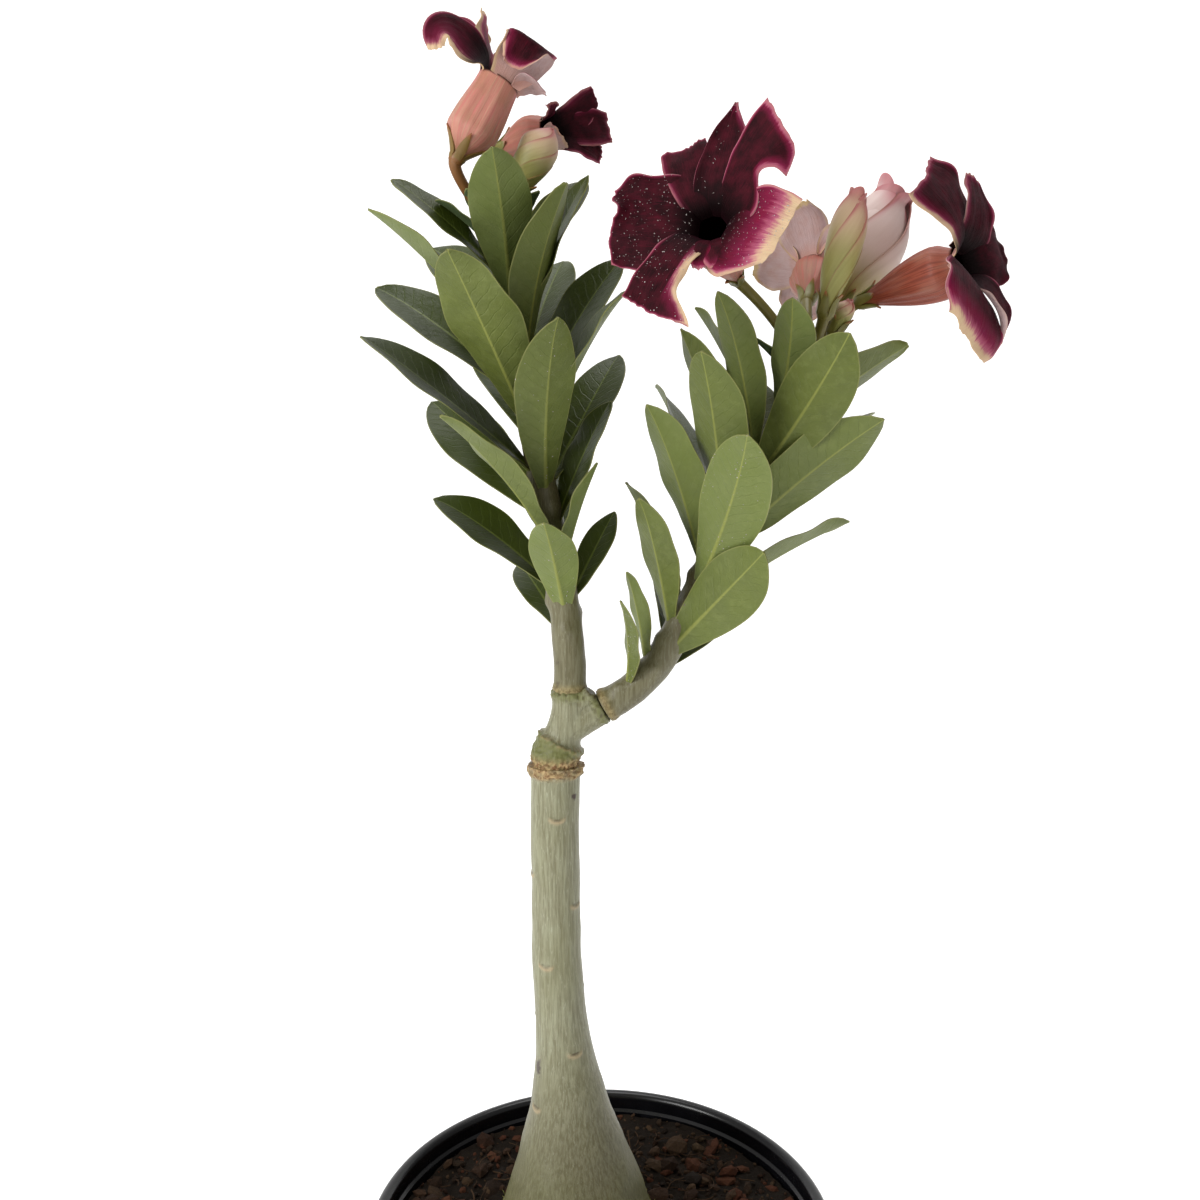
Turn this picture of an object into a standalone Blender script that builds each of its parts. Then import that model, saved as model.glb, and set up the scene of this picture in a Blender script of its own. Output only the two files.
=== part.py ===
"""Potted desert rose (adenium): a grafted trunk with a swollen foot, two leafy shoots with their
flower stalks, open blooms and buds, in potting mix in a round nursery pot.

All sizes are in millimetres and become metres when a mesh is made. +Z is up, the pot stands on
Z = 0 with its axis on Z, and the side that shows best faces -Y.
"""

import math
import random

import bmesh
import bpy
import numpy as np
from mathutils import Matrix, Vector

MM = 0.001
GAP = 0.35  # clearance between pieces that lie against each other
SEED = 7

# Pot: a tapered shell with a folded rim band and drain holes round the floor.
POT_RIM_R = 95.0
POT_BASE_R = 67.0
POT_HEIGHT = 150.0
POT_WALL = 2.2
RIM_BAND = 15.0  # height of the folded rim
RIM_OUT = 4.2  # how far the band stands out from the wall
POT_SIDES = 36
DRAIN_HOLES = 8
DRAIN_R = 5.0
DRAIN_RING_R = 48.0

# Potting mix
SOIL_TOP = 142.0
SOIL_RELIEF = 3.0
SOIL_RINGS = 6
SOIL_SIDES = 32
HOLE_OVER = 12.0  # how far the trunk's hole is cut on over the mix
FOOT_X = -10.0  # where the trunk stands in the pot

# Trunk: a bell curve swells its foot, and it leans to -X as it rises.
ROOT_BOTTOM = 90.0
BULB_HEIGHT = 130.0
BULB_R = 34.0
BULB_ABOVE = 60.0  # spread of the bell curve over its fullest point, and under it
BULB_BELOW = 50.0
STEM_R = 9.5
STOCK_TOP = 330.0
STOCK_RINGS = 14
TRUNK_LEAN = 8.0
LEAN_LOW, LEAN_HIGH = 140.0, 280.0
# Graft: a corky ring, then a collar. The neck over them steps back to +X and carries the fork.
GRAFT_HEIGHT = 340.0
GRAFT_OUT = 2.0  # how far the ring stands out
GRAFT_HALF = 3.0
COLLAR_TOP = 352.0
NECK_R = 7.0
NECK_STEP = 6.0
NECK_TOP = 370.0
SEAT = 0.7  # clearance between the trunk and a shoot, along the shoot
TRUNK_SIDES = 16
FORK_HEIGHT = 356.0  # where the arm that bears the right shoot leaves the neck
ARM_LENGTH = 17.0
ARM_R = (7.0, 6.0)  # at the neck and at the shoot
FORK_SIDES = 12

# Shoots: each starts at its first lean from upright and settles to another over a distance.
# Leaves follow the plant's spiral, evenly spaced from the first node to the last. On the inner side,
# towards the other shoot, they stand at the first lift above level and, on the outer side, at the second.
SHOOTS = {
    "left_shoot": {
        "bearing": 180, "first_lean": 0, "lean": 10, "settle": 25, "length": 175,
        "leaves": 25, "nodes": (20, 155), "first_bearing": 120, "lifts": (65, 42), "roll": 30,
        "young": 6, "young_bearing": 180,
    },
    "right_shoot": {
        "bearing": 0, "first_lean": 60, "lean": 25, "settle": 25, "length": 150,
        "leaves": 23, "nodes": (10, 130), "first_bearing": -95, "lifts": (75, 36), "roll": 30,
        "young": 3, "young_bearing": 60,
    },
}
SHOOT_FOOT_R = 6.2
SHOOT_TIP_R = 3.4
SHOOT_SIDES = 9
SHOOT_STOPS = 24

# Leaves: the longest stand at LEAF_FULL of the leafy length, and they're shorter towards its ends.
GOLDEN_ANGLE = 137.5
LEAF_REACH = 85.0
LEAF_FULL = 0.5
LEAF_LESS = 0.4
CROWDED_LESS = 0.45  # and those low down between the shoots are shorter again
LEAF_SLENDER = 0.33  # width over reach
BACK_DROOP = 15.0  # a leaf at the back leans out this much further
YOUNG_REACH = 30.0
YOUNG_SLENDER = 0.4
YOUNG_LENGTH = 10.0  # how much of the shoot's tip bears them
YOUNG_LIFT = 40.0
YOUNG_ARCH = 16.0
LEAF_THICK = 1.0
LEAF_STATIONS = (0, 0.13, 0.38, 0.66, 0.9, 1)
LEAF_FOLD = 0.30  # rise of the margin over half the width
LEAF_BROADEST = 1.55  # power that puts the broadest part beyond the middle
LEAF_ROUND = 0.66  # lower is blunter
PETIOLE_HALF = 1.5

# Flowers spread from their shoot's tip, each to its own side. An open bloom has pushed out further than
# a bud, and stretch multiplies that distance.
BLOOM_STALK = 35.0
BUD_STALK = 25.0
STALK_LIFT = 50.0
# Blooms: bearing and lift of the axis, tube length, greatest radius of the tube and the share of the length
# where it's reached.
# Petals: turn about the axis, length, width, flare from the axis, curl towards the tip, twist, end (0 is
# pointed, 1 is cut square) and sideways sweep.
TUBE_FOOT_R = 2.3
TUBE_WALL = 0.9
TUBE_SIDES = 10
TUBE_STATIONS = (0, 0.1, 0.22, 0.4, 0.65, 1)
PETAL_THICK = 0.8
PETAL_STATIONS = (0, 0.25, 0.52, 0.8, 1)
PETAL_COLUMNS = 4
PETAL_ROOT = 0.19  # half-width at the root over the width
BLOOMS = {
    "bloom_front": {
        "shoot": "right_shoot",
        "side": 190,
        "stretch": 1.2,
        "bearing": -110,
        "lift": 20,
        "tube": 38,
        "girth": 9.0,
        "belly": 0.75,
        "petals": (
            (-10, 32, 34, 75, 15, 0, 0.8, 0),
            (50, 40, 20, 65, 5, 60, 1.0, -10),
            (80, 38, 22, 70, 5, 10, 0.1, -10),
            (125, 25, 20, 80, 5, 0, 0.5, 0),
            (180, 32, 36, 80, 5, 0, 0.8, 0),
            (250, 34, 24, 85, 10, -15, 1.0, 0),
        ),
    },
    "bloom_left": {
        "shoot": "left_shoot",
        "side": -130,
        "stretch": 0.8,
        "bearing": 15,
        "lift": 60,
        "tube": 32,
        "girth": 9.0,
        "belly": 0.35,
        "petals": (
            (90, 27, 24, 95, 50, -60, 0.7, 0),
            (50, 34, 20, 60, 30, -10, 0.7, 0),
            (0, 26, 22, 30, 5, 0, 0.4, 15),
            (215, 20, 26, 70, -25, 10, 0.8, 0),
            (260, 16, 20, 105, 10, 0, 0.7, 0),
        ),
    },
    "bloom_left_back": {
        "shoot": "left_shoot",
        "side": 90,
        "stretch": 1.2,
        "bearing": -30,
        "lift": 10,
        "tube": 25,
        "girth": 8.0,
        "belly": 0.7,
        "petals": (
            (35, 22, 16, 70, 10, 0, 0.7, 0),
            (0, 25, 16, 70, 10, 0, 0.8, 0),
            (110, 8, 12, 65, 20, 0, 0.8, 0),
            (235, 11, 12, 50, 10, 0, 0.8, 0),
            (305, 14, 14, 60, 20, 0, 0.8, 0),
        ),
    },
    "bloom_right": {
        "shoot": "right_shoot",
        "side": -10,
        "stretch": 0.9,
        "bearing": -40,
        "lift": 15,
        "tube": 40,
        "girth": 9.5,
        "belly": 0.85,
        "petals": (
            (115, 35, 36, 90, 15, 0, 0.5, 0),
            (240, 26, 36, 70, 10, 0, 0.9, 0),
            (295, 32, 20, 70, 30, 20, 0.8, 0),
            (10, 26, 26, 80, 20, 0, 0.8, 0),
            (75, 32, 22, 90, 15, 0, 0.6, 0),
        ),
    },
    "bloom_back": {
        "shoot": "right_shoot",
        "side": 80,
        "stretch": 1.0,
        "bearing": 75,
        "lift": 30,
        "tube": 30,
        "girth": 8.5,
        "belly": 0.75,
        "petals": (
            *((72 * k, 30, 25, 85, 20, 15, 0.8, 0) for k in range(5)),
        ),
    },
}
# Buds: bearing and lift of the axis, length, greatest radius, the share of the length where it's
# reached, and the radius at the tip.
BUDS = {
    "bud_left": {
        "shoot": "left_shoot", "side": -30, "stretch": 0.5, "bearing": 0, "lift": 60,
        "length": 27, "radius": 6.5, "fat": 0.65, "tip": 1.0,
    },
    "bud_tall": {
        "shoot": "right_shoot", "side": -75, "stretch": 1.0, "bearing": -30, "lift": 75,
        "length": 42, "radius": 6.0, "fat": 0.6, "tip": 2.2,
    },
    "bud_half_open": {
        "shoot": "right_shoot", "side": 40, "stretch": 1.2, "bearing": 10, "lift": 65,
        "length": 50, "radius": 12.5, "fat": 0.45, "tip": 4.5,
    },
    "bud_small": {
        "shoot": "right_shoot", "side": -35, "stretch": 0.7, "bearing": -40, "lift": 60,
        "length": 12, "radius": 3.2, "fat": 0.6, "tip": 1.0,
    },
}
BUD_SIDES = 10
BUD_RINGS = 7
BUD_FOOT_R = 2.3
BUD_TWIST = 150.0  # turn of the folded petals from foot to tip
BUD_RIDGE = 0.10
STALK_R = 1.9
STALK_SIDES = 6
CUP_R = 2.9
CUP_HEIGHT = 3.0
SEPAL_LENGTH = 7.0
SEPAL_WIDTH = 2.8
SEPAL_THICK = 0.8


def clear_scene():
    for obj in list(bpy.data.objects):
        bpy.data.objects.remove(obj)


def material(name, colour, roughness):
    made = bpy.data.materials.new(name)
    made.use_nodes = True
    shader = made.node_tree.nodes["Principled BSDF"]
    shader.inputs["Base Color"].default_value = (*colour, 1)
    shader.inputs["Roughness"].default_value = roughness
    shader.inputs["Metallic"].default_value = 0.0
    return made


def solid(name, points, faces, finish=None, collection=None):
    """An object from points in millimetres, with its faces turned outwards."""
    mesh = bpy.data.meshes.new(name)
    mesh.from_pydata([tuple(float(v) * MM for v in p) for p in points], [], faces)
    shape = bmesh.new()
    shape.from_mesh(mesh)
    bmesh.ops.recalc_face_normals(shape, faces=shape.faces)
    if shape.calc_volume(signed=True) < 0:
        bmesh.ops.reverse_faces(shape, faces=shape.faces)
    shape.to_mesh(mesh)
    shape.free()
    obj = bpy.data.objects.new(name, mesh)
    (collection or bpy.context.scene.collection).objects.link(obj)
    if finish:
        mesh.materials.append(finish)
    return obj


def joined(name, shapes, finish):
    """One object from overlapping solids, each given as (points, faces)."""
    body = solid(name, *shapes[0], finish)
    if len(shapes) == 1:
        return body
    group = bpy.data.collections.new(name + "_pieces")
    bpy.context.scene.collection.children.link(group)
    for i, shape in enumerate(shapes[1:]):
        solid(f"{name}_piece_{i}", *shape, None, group)
    union = body.modifiers.new("union", "BOOLEAN")
    union.operation = "UNION"
    union.operand_type = "COLLECTION"
    union.collection = group
    union.solver = "MANIFOLD"
    return applied(body, group)


def applied(body, group):
    """body with its modifiers applied and the helpers in group removed."""
    bpy.context.view_layer.update()
    graph = bpy.context.evaluated_depsgraph_get()
    result = bpy.data.meshes.new_from_object(body.evaluated_get(graph))
    body.modifiers.clear()
    body.data = result
    for helper in list(group.objects):
        bpy.data.objects.remove(helper)
    bpy.data.collections.remove(group)
    return body


def cut(body, cutters):
    """body less the given solids, each (points, faces)."""
    group = bpy.data.collections.new(body.name + "_cutters")
    bpy.context.scene.collection.children.link(group)
    for i, shape in enumerate(cutters):
        solid(f"{body.name}_cutter_{i}", *shape, None, group)
    modifier = body.modifiers.new("cut", "BOOLEAN")
    modifier.operation = "DIFFERENCE"
    modifier.operand_type = "COLLECTION"
    modifier.collection = group
    modifier.solver = "EXACT"
    return applied(body, group)


def shade(obj, angle=math.radians(40)):
    obj.data.shade_smooth()
    obj.data.set_sharp_from_angle(angle=angle)


def unit(v):
    v = np.asarray(v, float)
    return v / np.linalg.norm(v)


def bearing_vector(bearing, lift):
    """Unit vector with that bearing about Z and that angle above level, in degrees."""
    b, e = math.radians(bearing), math.radians(lift)
    return np.array([math.cos(e) * math.cos(b), math.cos(e) * math.sin(b), math.sin(e)])


def turned(v, axis, degrees):
    """v turned about axis."""
    a = math.radians(degrees)
    k = unit(axis)
    return v * math.cos(a) + np.cross(k, v) * math.sin(a) + k * np.dot(k, v) * (1 - math.cos(a))


def lathe(profile, sides, twist=None):
    """A solid turned about Z from (radius, height) pairs; radius 0 is a point on the axis.
    twist(angle, height) scales the radius, for ridges."""
    points, rings, faces = [], [], []
    for r, z in profile:
        if r == 0:
            rings.append([len(points)])
            points.append((0, 0, z))
            continue
        rings.append(list(range(len(points), len(points) + sides)))
        for k in range(sides):
            a = 2 * math.pi * k / sides
            s = r * (twist(a, z) if twist else 1)
            points.append((s * math.cos(a), s * math.sin(a), z))
    for low, high in zip(rings, rings[1:]):
        for k in range(sides):
            m = (k + 1) % sides
            if len(low) == 1:
                faces.append((low[0], high[m], high[k]))
            elif len(high) == 1:
                faces.append((low[k], low[m], high[0]))
            else:
                faces += [(low[k], low[m], high[m]), (low[k], high[m], high[k])]
    for ring in (rings[0], rings[-1]):
        if len(ring) > 1 and rings[0] is not rings[-1]:
            faces.append(tuple(ring))
    return np.array(points), faces


def placed(shape, foot, axis, spin=0.0):
    """A shape made about Z, set with its foot at a point and its Z along axis."""
    points, faces = shape
    up = unit(axis)
    across = unit(np.cross((0, 0, 1), up)) if abs(up[2]) < 0.999 else np.array([1.0, 0, 0])
    other = np.cross(up, across)
    spun = np.array(Matrix.Rotation(math.radians(spin), 3, "Z"))
    basis = np.stack([across, other, up], axis=1)
    return points @ spun.T @ basis.T + np.asarray(foot, float), faces


def smooth_line(stops, steps):
    """Catmull-Rom curve through the stops, with steps points between each pair."""
    p = np.array(stops, float)
    line = []
    for i in range(len(p) - 1):
        a, b, c, d = p[max(i - 1, 0)], p[i], p[i + 1], p[min(i + 2, len(p) - 1)]
        for u in np.arange(steps) / steps:
            line.append(
                0.5 * (2 * b + (c - a) * u + (2 * a - 5 * b + 4 * c - d) * u**2
                       + (3 * b - a - 3 * c + d) * u**3)
            )
    return np.array([*line, p[-1]])


def frames(line):
    """Tangent and one transported normal at each point of a line."""
    tangents = np.gradient(line, axis=0)
    tangents /= np.linalg.norm(tangents, axis=1)[:, None]
    normal = unit(np.cross(tangents[0], (0, 1, 0)))
    normals = []
    for t in tangents:
        normal = unit(normal - t * np.dot(normal, t))
        normals.append(normal)
    return tangents, np.array(normals)


def pipe(line, radii, sides):
    """A round solid along a line, capped at both ends."""
    tangents, normals = frames(line)
    angles = 2 * np.pi * np.arange(sides) / sides
    points, faces = [], []
    for p, t, n, r in zip(line, tangents, normals, radii):
        b = np.cross(t, n)
        points += [p + r * (math.cos(a) * n + math.sin(a) * b) for a in angles]
    for i in range(len(line) - 1):
        for k in range(sides):
            m = (k + 1) % sides
            a, b, c, d = i * sides + k, i * sides + m, (i + 1) * sides + m, (i + 1) * sides + k
            faces += [(a, b, c), (a, c, d)]
    faces.append(tuple(range(sides)))
    faces.append(tuple(range((len(line) - 1) * sides, len(line) * sides)))
    return np.array(points), faces


def blade(spine, sides, normals, halves, lifts, thickness):
    """A thin solid about a spine. lifts[i][j] is the rise of the blade at station i, column j, and both
    faces are split into triangles alike."""
    rows, columns = lifts.shape
    across = np.linspace(-1, 1, columns)
    middle = (
        spine[:, None, :]
        + sides[:, None, :] * (halves[:, None] * across)[:, :, None]
        + normals[:, None, :] * lifts[:, :, None]
    )
    half_thick = normals[:, None, :] * np.asarray(thickness)[:, None, None] / 2
    points = np.concatenate([(middle + half_thick).reshape(-1, 3), (middle - half_thick).reshape(-1, 3)])
    below = rows * columns
    faces = []
    for i in range(rows - 1):
        for j in range(columns - 1):
            a, b = i * columns + j, i * columns + j + 1
            c, d = b + columns, a + columns
            pair = [(a, b, d), (b, c, d)] if j < columns // 2 else [(a, b, c), (a, c, d)]
            for face in pair:
                faces += [face, tuple(k + below for k in reversed(face))]
    rim = [j for j in range(columns)]
    rim += [i * columns + columns - 1 for i in range(1, rows)]
    rim += [(rows - 1) * columns + j for j in range(columns - 2, -1, -1)]
    rim += [i * columns for i in range(rows - 2, 0, -1)]
    for a, b in zip(rim, rim[1:] + rim[:1]):
        faces += [(b, a, a + below), (b, a + below, b + below)]
    return points, faces


def leaf(shoot, row, fold=LEAF_FOLD, thickness=LEAF_THICK):
    """One leaf as a folded, arched blade from the middle of its shoot to its tip."""
    node, bearing, lift, reach, width, arch, roll, sweep = row
    root, stem_axis = shoot.at(node)
    chord = bearing_vector(bearing, lift)
    outward = unit(chord - stem_axis * np.dot(chord, stem_axis))
    upper = unit(stem_axis * np.dot(chord, outward) - outward * np.dot(chord, stem_axis))
    upper = turned(upper, chord, roll)
    side = np.cross(chord, upper)
    stations = np.array(LEAF_STATIONS, float)
    total, swing = math.radians(max(arch, 0.1)), math.radians(sweep)
    run = reach * (total / 2) / math.sin(total / 2)

    def heading(s):
        a, b = total * (0.5 - s), swing * (0.5 - s)
        return (chord * math.cos(a) + upper * math.sin(a)) * math.cos(b) + side * math.sin(b)

    spine, sides, lean = [root], [], []
    for low, high in zip(stations, stations[1:]):
        spine.append(spine[-1] + run * (high - low) * heading((low + high) / 2))
    for s in stations:
        a = total * (0.5 - s)
        lean.append(upper * math.cos(a) - chord * math.sin(a))
        sides.append(np.cross(heading(s), lean[-1]))
    shape = np.clip(np.sin(np.pi * stations**LEAF_BROADEST), 0, 1)
    halves = np.maximum(width / 2 * shape**LEAF_ROUND, PETIOLE_HALF * (1 - 0.7 * stations))
    lifts = fold * halves[:, None] * np.abs(np.linspace(-1, 1, 3))[None, :]
    thick = np.where(stations < 0.1, 2 * thickness, thickness)
    return blade(np.array(spine), np.array(sides), np.array(lean), halves, lifts, thick)


class Shoot:
    """A shoot's centre line, measured along its length from its foot."""

    def __init__(self, stops):
        self.line = smooth_line(stops, 8)
        steps = np.linalg.norm(np.diff(self.line, axis=0), axis=1)
        self.along = np.concatenate([[0], np.cumsum(steps)])
        self.length = self.along[-1]
        self.tangents = frames(self.line)[0]

    def at(self, distance):
        """Point and direction at that distance from the foot."""
        point = np.array([np.interp(distance, self.along, self.line[:, k]) for k in range(3)])
        axis = unit([np.interp(distance, self.along, self.tangents[:, k]) for k in range(3)])
        return point, axis

    def wood(self):
        """The stem itself."""
        stops = np.array([0, 1.5, *np.linspace(0, self.length, 11)[1:]])
        line = np.array([self.at(s)[0] for s in stops])
        radii = SHOOT_FOOT_R + (SHOOT_TIP_R - SHOOT_FOOT_R) * (stops / self.length) ** 1.4
        return pipe(line, radii, SHOOT_SIDES)


def shoot_heading(spec, distance):
    """Direction of a shoot at a distance from its foot."""
    lean = spec["lean"] + (spec["first_lean"] - spec["lean"]) * math.exp(-((distance / spec["settle"]) ** 2))
    return bearing_vector(spec["bearing"], 90 - lean)


def shoot_stops(name):
    """Centre line of a shoot, from its foot on the trunk to its tip."""
    spec = SHOOTS[name]
    step = spec["length"] / SHOOT_STOPS
    if name == "left_shoot":
        seat = np.array([trunk_x(NECK_TOP), 0, NECK_TOP])
    else:
        seat = np.array([trunk_x(FORK_HEIGHT), 0, FORK_HEIGHT]) + ARM_LENGTH * shoot_heading(spec, 0)
    points = [seat + SEAT * shoot_heading(spec, 0)]
    for k in range(SHOOT_STOPS):
        points.append(points[-1] + step * shoot_heading(spec, (k + 0.5) * step))
    return points


def spiral_leaves(spec):
    """Rows for a shoot's leaves: node, bearing, lift, reach, width, arch, roll about the rib and sweep."""
    rng = random.Random(SEED + spec["leaves"])
    first, last = spec["nodes"]
    inner, outer = spec["lifts"]
    rows = []
    for i in range(spec["leaves"]):
        share = i / (spec["leaves"] - 1)
        bearing = (spec["first_bearing"] + i * GOLDEN_ANGLE + 180) % 360 - 180
        outward = math.cos(math.radians(bearing - spec["bearing"]))
        behind = max(math.sin(math.radians(bearing)), 0)
        lift = inner + (outer - inner) * (1 + outward) / 2 - BACK_DROOP * behind + rng.uniform(-4, 4)
        away = (share - LEAF_FULL) / max(LEAF_FULL, 1 - LEAF_FULL)
        crowded = max(-outward, 0) * (1 - share)
        reach = LEAF_REACH * (1 - LEAF_LESS * away**2) * (1 - CROWDED_LESS * crowded)
        reach += rng.uniform(-4, 4)
        width = reach * (LEAF_SLENDER + rng.uniform(-0.04, 0.04))
        arch = rng.uniform(10, 22)
        node = first + (last - first) * share
        rows.append((node, bearing, lift, reach, width, arch, -spec["roll"] * outward, rng.uniform(-10, 10)))
    return rows


def young_leaves(spec):
    """Rows for the small leaves round a shoot's tip, each shorter than the one before."""
    rows = []
    for i in range(spec["young"]):
        share = i / spec["young"]
        bearing = (spec["young_bearing"] + i * GOLDEN_ANGLE + 180) % 360 - 180
        reach = YOUNG_REACH * (1 - 0.5 * share)
        node = spec["length"] - YOUNG_LENGTH * (1 - share)
        lift = YOUNG_LIFT + 10 * share
        rows.append((node, bearing, lift, reach, reach * YOUNG_SLENDER, YOUNG_ARCH, 0, 0))
    return rows


def tube_radius(spec, share):
    """Radius of a bloom's tube at a share of its length."""
    swell = math.sin(math.pi / 2 * min(share / spec["belly"], 1)) ** 1.3
    narrow = 1 - 0.1 * max(share - spec["belly"], 0) / (1.01 - spec["belly"])
    return (TUBE_FOOT_R + (spec["girth"] - TUBE_FOOT_R) * swell) * narrow


def corolla_tube(spec):
    """The flower's tube: open at the mouth and closed at the foot, which sits a gap above its cup."""
    length = spec["tube"]
    outer = [(tube_radius(spec, s), max(s * length, GAP)) for s in TUBE_STATIONS]
    inner = [(r - TUBE_WALL, z) for r, z in outer[:1:-1]]
    return lathe([(0, GAP), *outer, *inner, (0, outer[2][1] - TUBE_WALL)], TUBE_SIDES)


def petal(spec, row):
    """One petal of the bloom's rim, in the bloom's own frame: up the tube, then out and over."""
    turn, length, width, flare, curl, twist, end, sweep = row
    turn, sweep = math.radians(turn), math.radians(sweep)
    outward = np.array([math.cos(turn), math.sin(turn), 0])
    axis = np.array([0, 0, 1.0])
    stations = np.array(PETAL_STATIONS)

    def heading(s):
        lean = math.radians(8 + (flare - 8) * min(s / 0.4, 1) ** 0.8 + curl * s**2)
        along = outward * math.sin(lean) + axis * math.cos(lean)
        face = turned(axis * math.sin(lean) - outward * math.cos(lean), along, twist * s)
        return turned(along, face, math.degrees(sweep * (0.5 - s))), face

    point = outward * (tube_radius(spec, 1) - TUBE_WALL / 2) + axis * (spec["tube"] - 3)
    spine, sides, normals = [point], [], []
    for low, high in zip(stations, stations[1:]):
        spine.append(spine[-1] + length * (high - low) * heading((low + high) / 2)[0])
    for s in stations:
        along, face = heading(s)
        normals.append(face)
        sides.append(np.cross(along, face))
    broadest = 0.45 + 0.37 * end
    grow = np.sin(np.pi / 2 * np.minimum(stations / broadest, 1)) ** 1.2
    past = np.maximum(stations - broadest, 0) / (1 - broadest)
    close = 1 - (0.9 - 0.6 * end) * past ** (1.2 + 2 * end)
    halves = width * (PETAL_ROOT + (0.5 - PETAL_ROOT) * grow) * close
    across = np.linspace(-1, 1, PETAL_COLUMNS)
    ripple = 0.08 * np.sin(3.0 * across[None, :] + 5 * stations[:, None]) * stations[:, None]
    lifts = halves[:, None] * (0.14 * across[None, :] ** 2 + ripple)
    thick = np.full(len(stations), PETAL_THICK)
    return blade(np.array(spine), np.array(sides), np.array(normals), halves, lifts, thick)


def flower_foot(spec):
    """Foot of a flower, at the end of its stalk, and the direction of its axis."""
    length = spec["stretch"] * (BLOOM_STALK if "petals" in spec else BUD_STALK)
    foot = shoot_stops(spec["shoot"])[-1] + length * bearing_vector(spec["side"], STALK_LIFT)
    return foot, bearing_vector(spec["bearing"], spec["lift"])


def make_bloom(name, spec, finish):
    foot, axis = flower_foot(spec)
    shapes = [corolla_tube(spec)] + [petal(spec, row) for row in spec["petals"]]
    return joined(name, [placed(shape, foot, axis) for shape in shapes], finish)


def bud_radius(spec, share):
    fat = spec["fat"]
    if share < fat:
        rise = (1 - math.cos(math.pi * (share / fat) ** 0.8)) / 2
        return BUD_FOOT_R + (spec["radius"] - BUD_FOOT_R) * rise
    return max(spec["radius"] * math.cos(math.pi / 2 * ((share - fat) / (1 - fat)) ** 1.3), spec["tip"])


def bud_shape(spec):
    """A closed bud: its petals folded round each other in a spiral."""
    length = spec["length"]
    profile = [(0, GAP)]
    profile += [(bud_radius(spec, s), max(s * length, GAP)) for s in np.linspace(0, 1, BUD_RINGS)]
    profile.append((0, length + 0.6))

    def ridges(angle, height):
        share = height / length
        fold = math.cos(5 * (angle - math.radians(BUD_TWIST) * share))
        return 1 + BUD_RIDGE * min(1, max(0, share * 2 - 0.5)) * fold

    return lathe(profile, BUD_SIDES, ridges)


def make_bud(name, spec, finish):
    foot, axis = flower_foot(spec)
    return joined(name, [placed(bud_shape(spec), foot, axis)], finish)


def flower_radius(name, height):
    """Radius of a flower at a height above its foot."""
    if name in BLOOMS:
        return tube_radius(BLOOMS[name], height / BLOOMS[name]["tube"])
    return bud_radius(BUDS[name], height / BUDS[name]["length"]) * (1 + BUD_RIDGE)


def flower_stalk(shoot, name, small=1.0):
    """Solids of one flower's stalk, cup and five sepals, which belong to the shoot."""
    foot, axis = flower_foot(BLOOMS.get(name) or BUDS[name])
    start, rise = shoot.at(shoot.length - 4)
    reach = np.linalg.norm(foot - start)
    end = foot - axis * CUP_HEIGHT * 0.6
    line = []
    for u in np.linspace(0, 1, 5):
        a, b = start + rise * reach * 0.4 * u, end - axis * reach * 0.35 * (1 - u)
        line.append(a * (1 - u) ** 2 * (1 + 2 * u) + b * u**2 * (3 - 2 * u))
    shapes = [pipe(np.array(line), np.full(len(line), STALK_R * small), STALK_SIDES)]
    cup = [(STALK_R * small, -CUP_HEIGHT), (CUP_R * small, -CUP_HEIGHT / 2), (CUP_R * small, 0)]
    shapes.append(placed(lathe(cup, 8), foot, axis))
    for k in range(5):
        turn = math.radians(72 * k + 36)
        outward = np.array([math.cos(turn), math.sin(turn), 0])
        around = np.array([-math.sin(turn), math.cos(turn), 0])
        heights = np.array([-1.2, 0.9, SEPAL_LENGTH * small])
        radii = [flower_radius(name, max(h, 0)) + GAP + SEPAL_THICK / 2 + 0.35 for h in heights]
        radii[0] = CUP_R * small - 0.6
        spine = outward * np.array(radii)[:, None] + np.array([0, 0, 1.0]) * heights[:, None]
        halves = SEPAL_WIDTH * small / 2 * np.array([1, 1, 0.2])
        count = len(heights)
        shape = blade(
            spine, np.tile(around, (count, 1)), np.tile(-outward, (count, 1)), halves,
            np.zeros((count, 2)), np.full(count, SEPAL_THICK),
        )
        shapes.append(placed(shape, foot, axis))
    return shapes


def make_shoot(name, finish):
    spec = SHOOTS[name]
    shoot = Shoot(shoot_stops(name))
    shapes = [shoot.wood()]
    for row in (*spiral_leaves(spec), *young_leaves(spec)):
        shapes.append(leaf(shoot, row))
    for flower, flower_spec in {**BLOOMS, **BUDS}.items():
        if flower_spec["shoot"] == name:
            shapes += flower_stalk(shoot, flower, 0.85 if flower == "bud_small" else 1.0)
    return joined(name, shapes, finish)


def smooth_share(value, low, high):
    """0 at low, 1 at high, and level at both ends."""
    share = min(max((value - low) / (high - low), 0), 1)
    return share * share * (3 - 2 * share)


def trunk_x(height):
    lean = FOOT_X - TRUNK_LEAN * smooth_share(height, LEAN_LOW, LEAN_HIGH)
    return lean + NECK_STEP * smooth_share(height, GRAFT_HEIGHT, NECK_TOP - GRAFT_HALF)


def stock_stations():
    """(x, y, z, radius) of the stock, from the root's underside to just under the graft."""
    stations = []
    for height in np.linspace(ROOT_BOTTOM, STOCK_TOP, STOCK_RINGS):
        spread = BULB_BELOW if height < BULB_HEIGHT else BULB_ABOVE
        bell = math.exp(-(((height - BULB_HEIGHT) / spread) ** 2))
        stations.append((trunk_x(height), 0, height, STEM_R + (BULB_R - STEM_R) * bell))
    return stations


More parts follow.
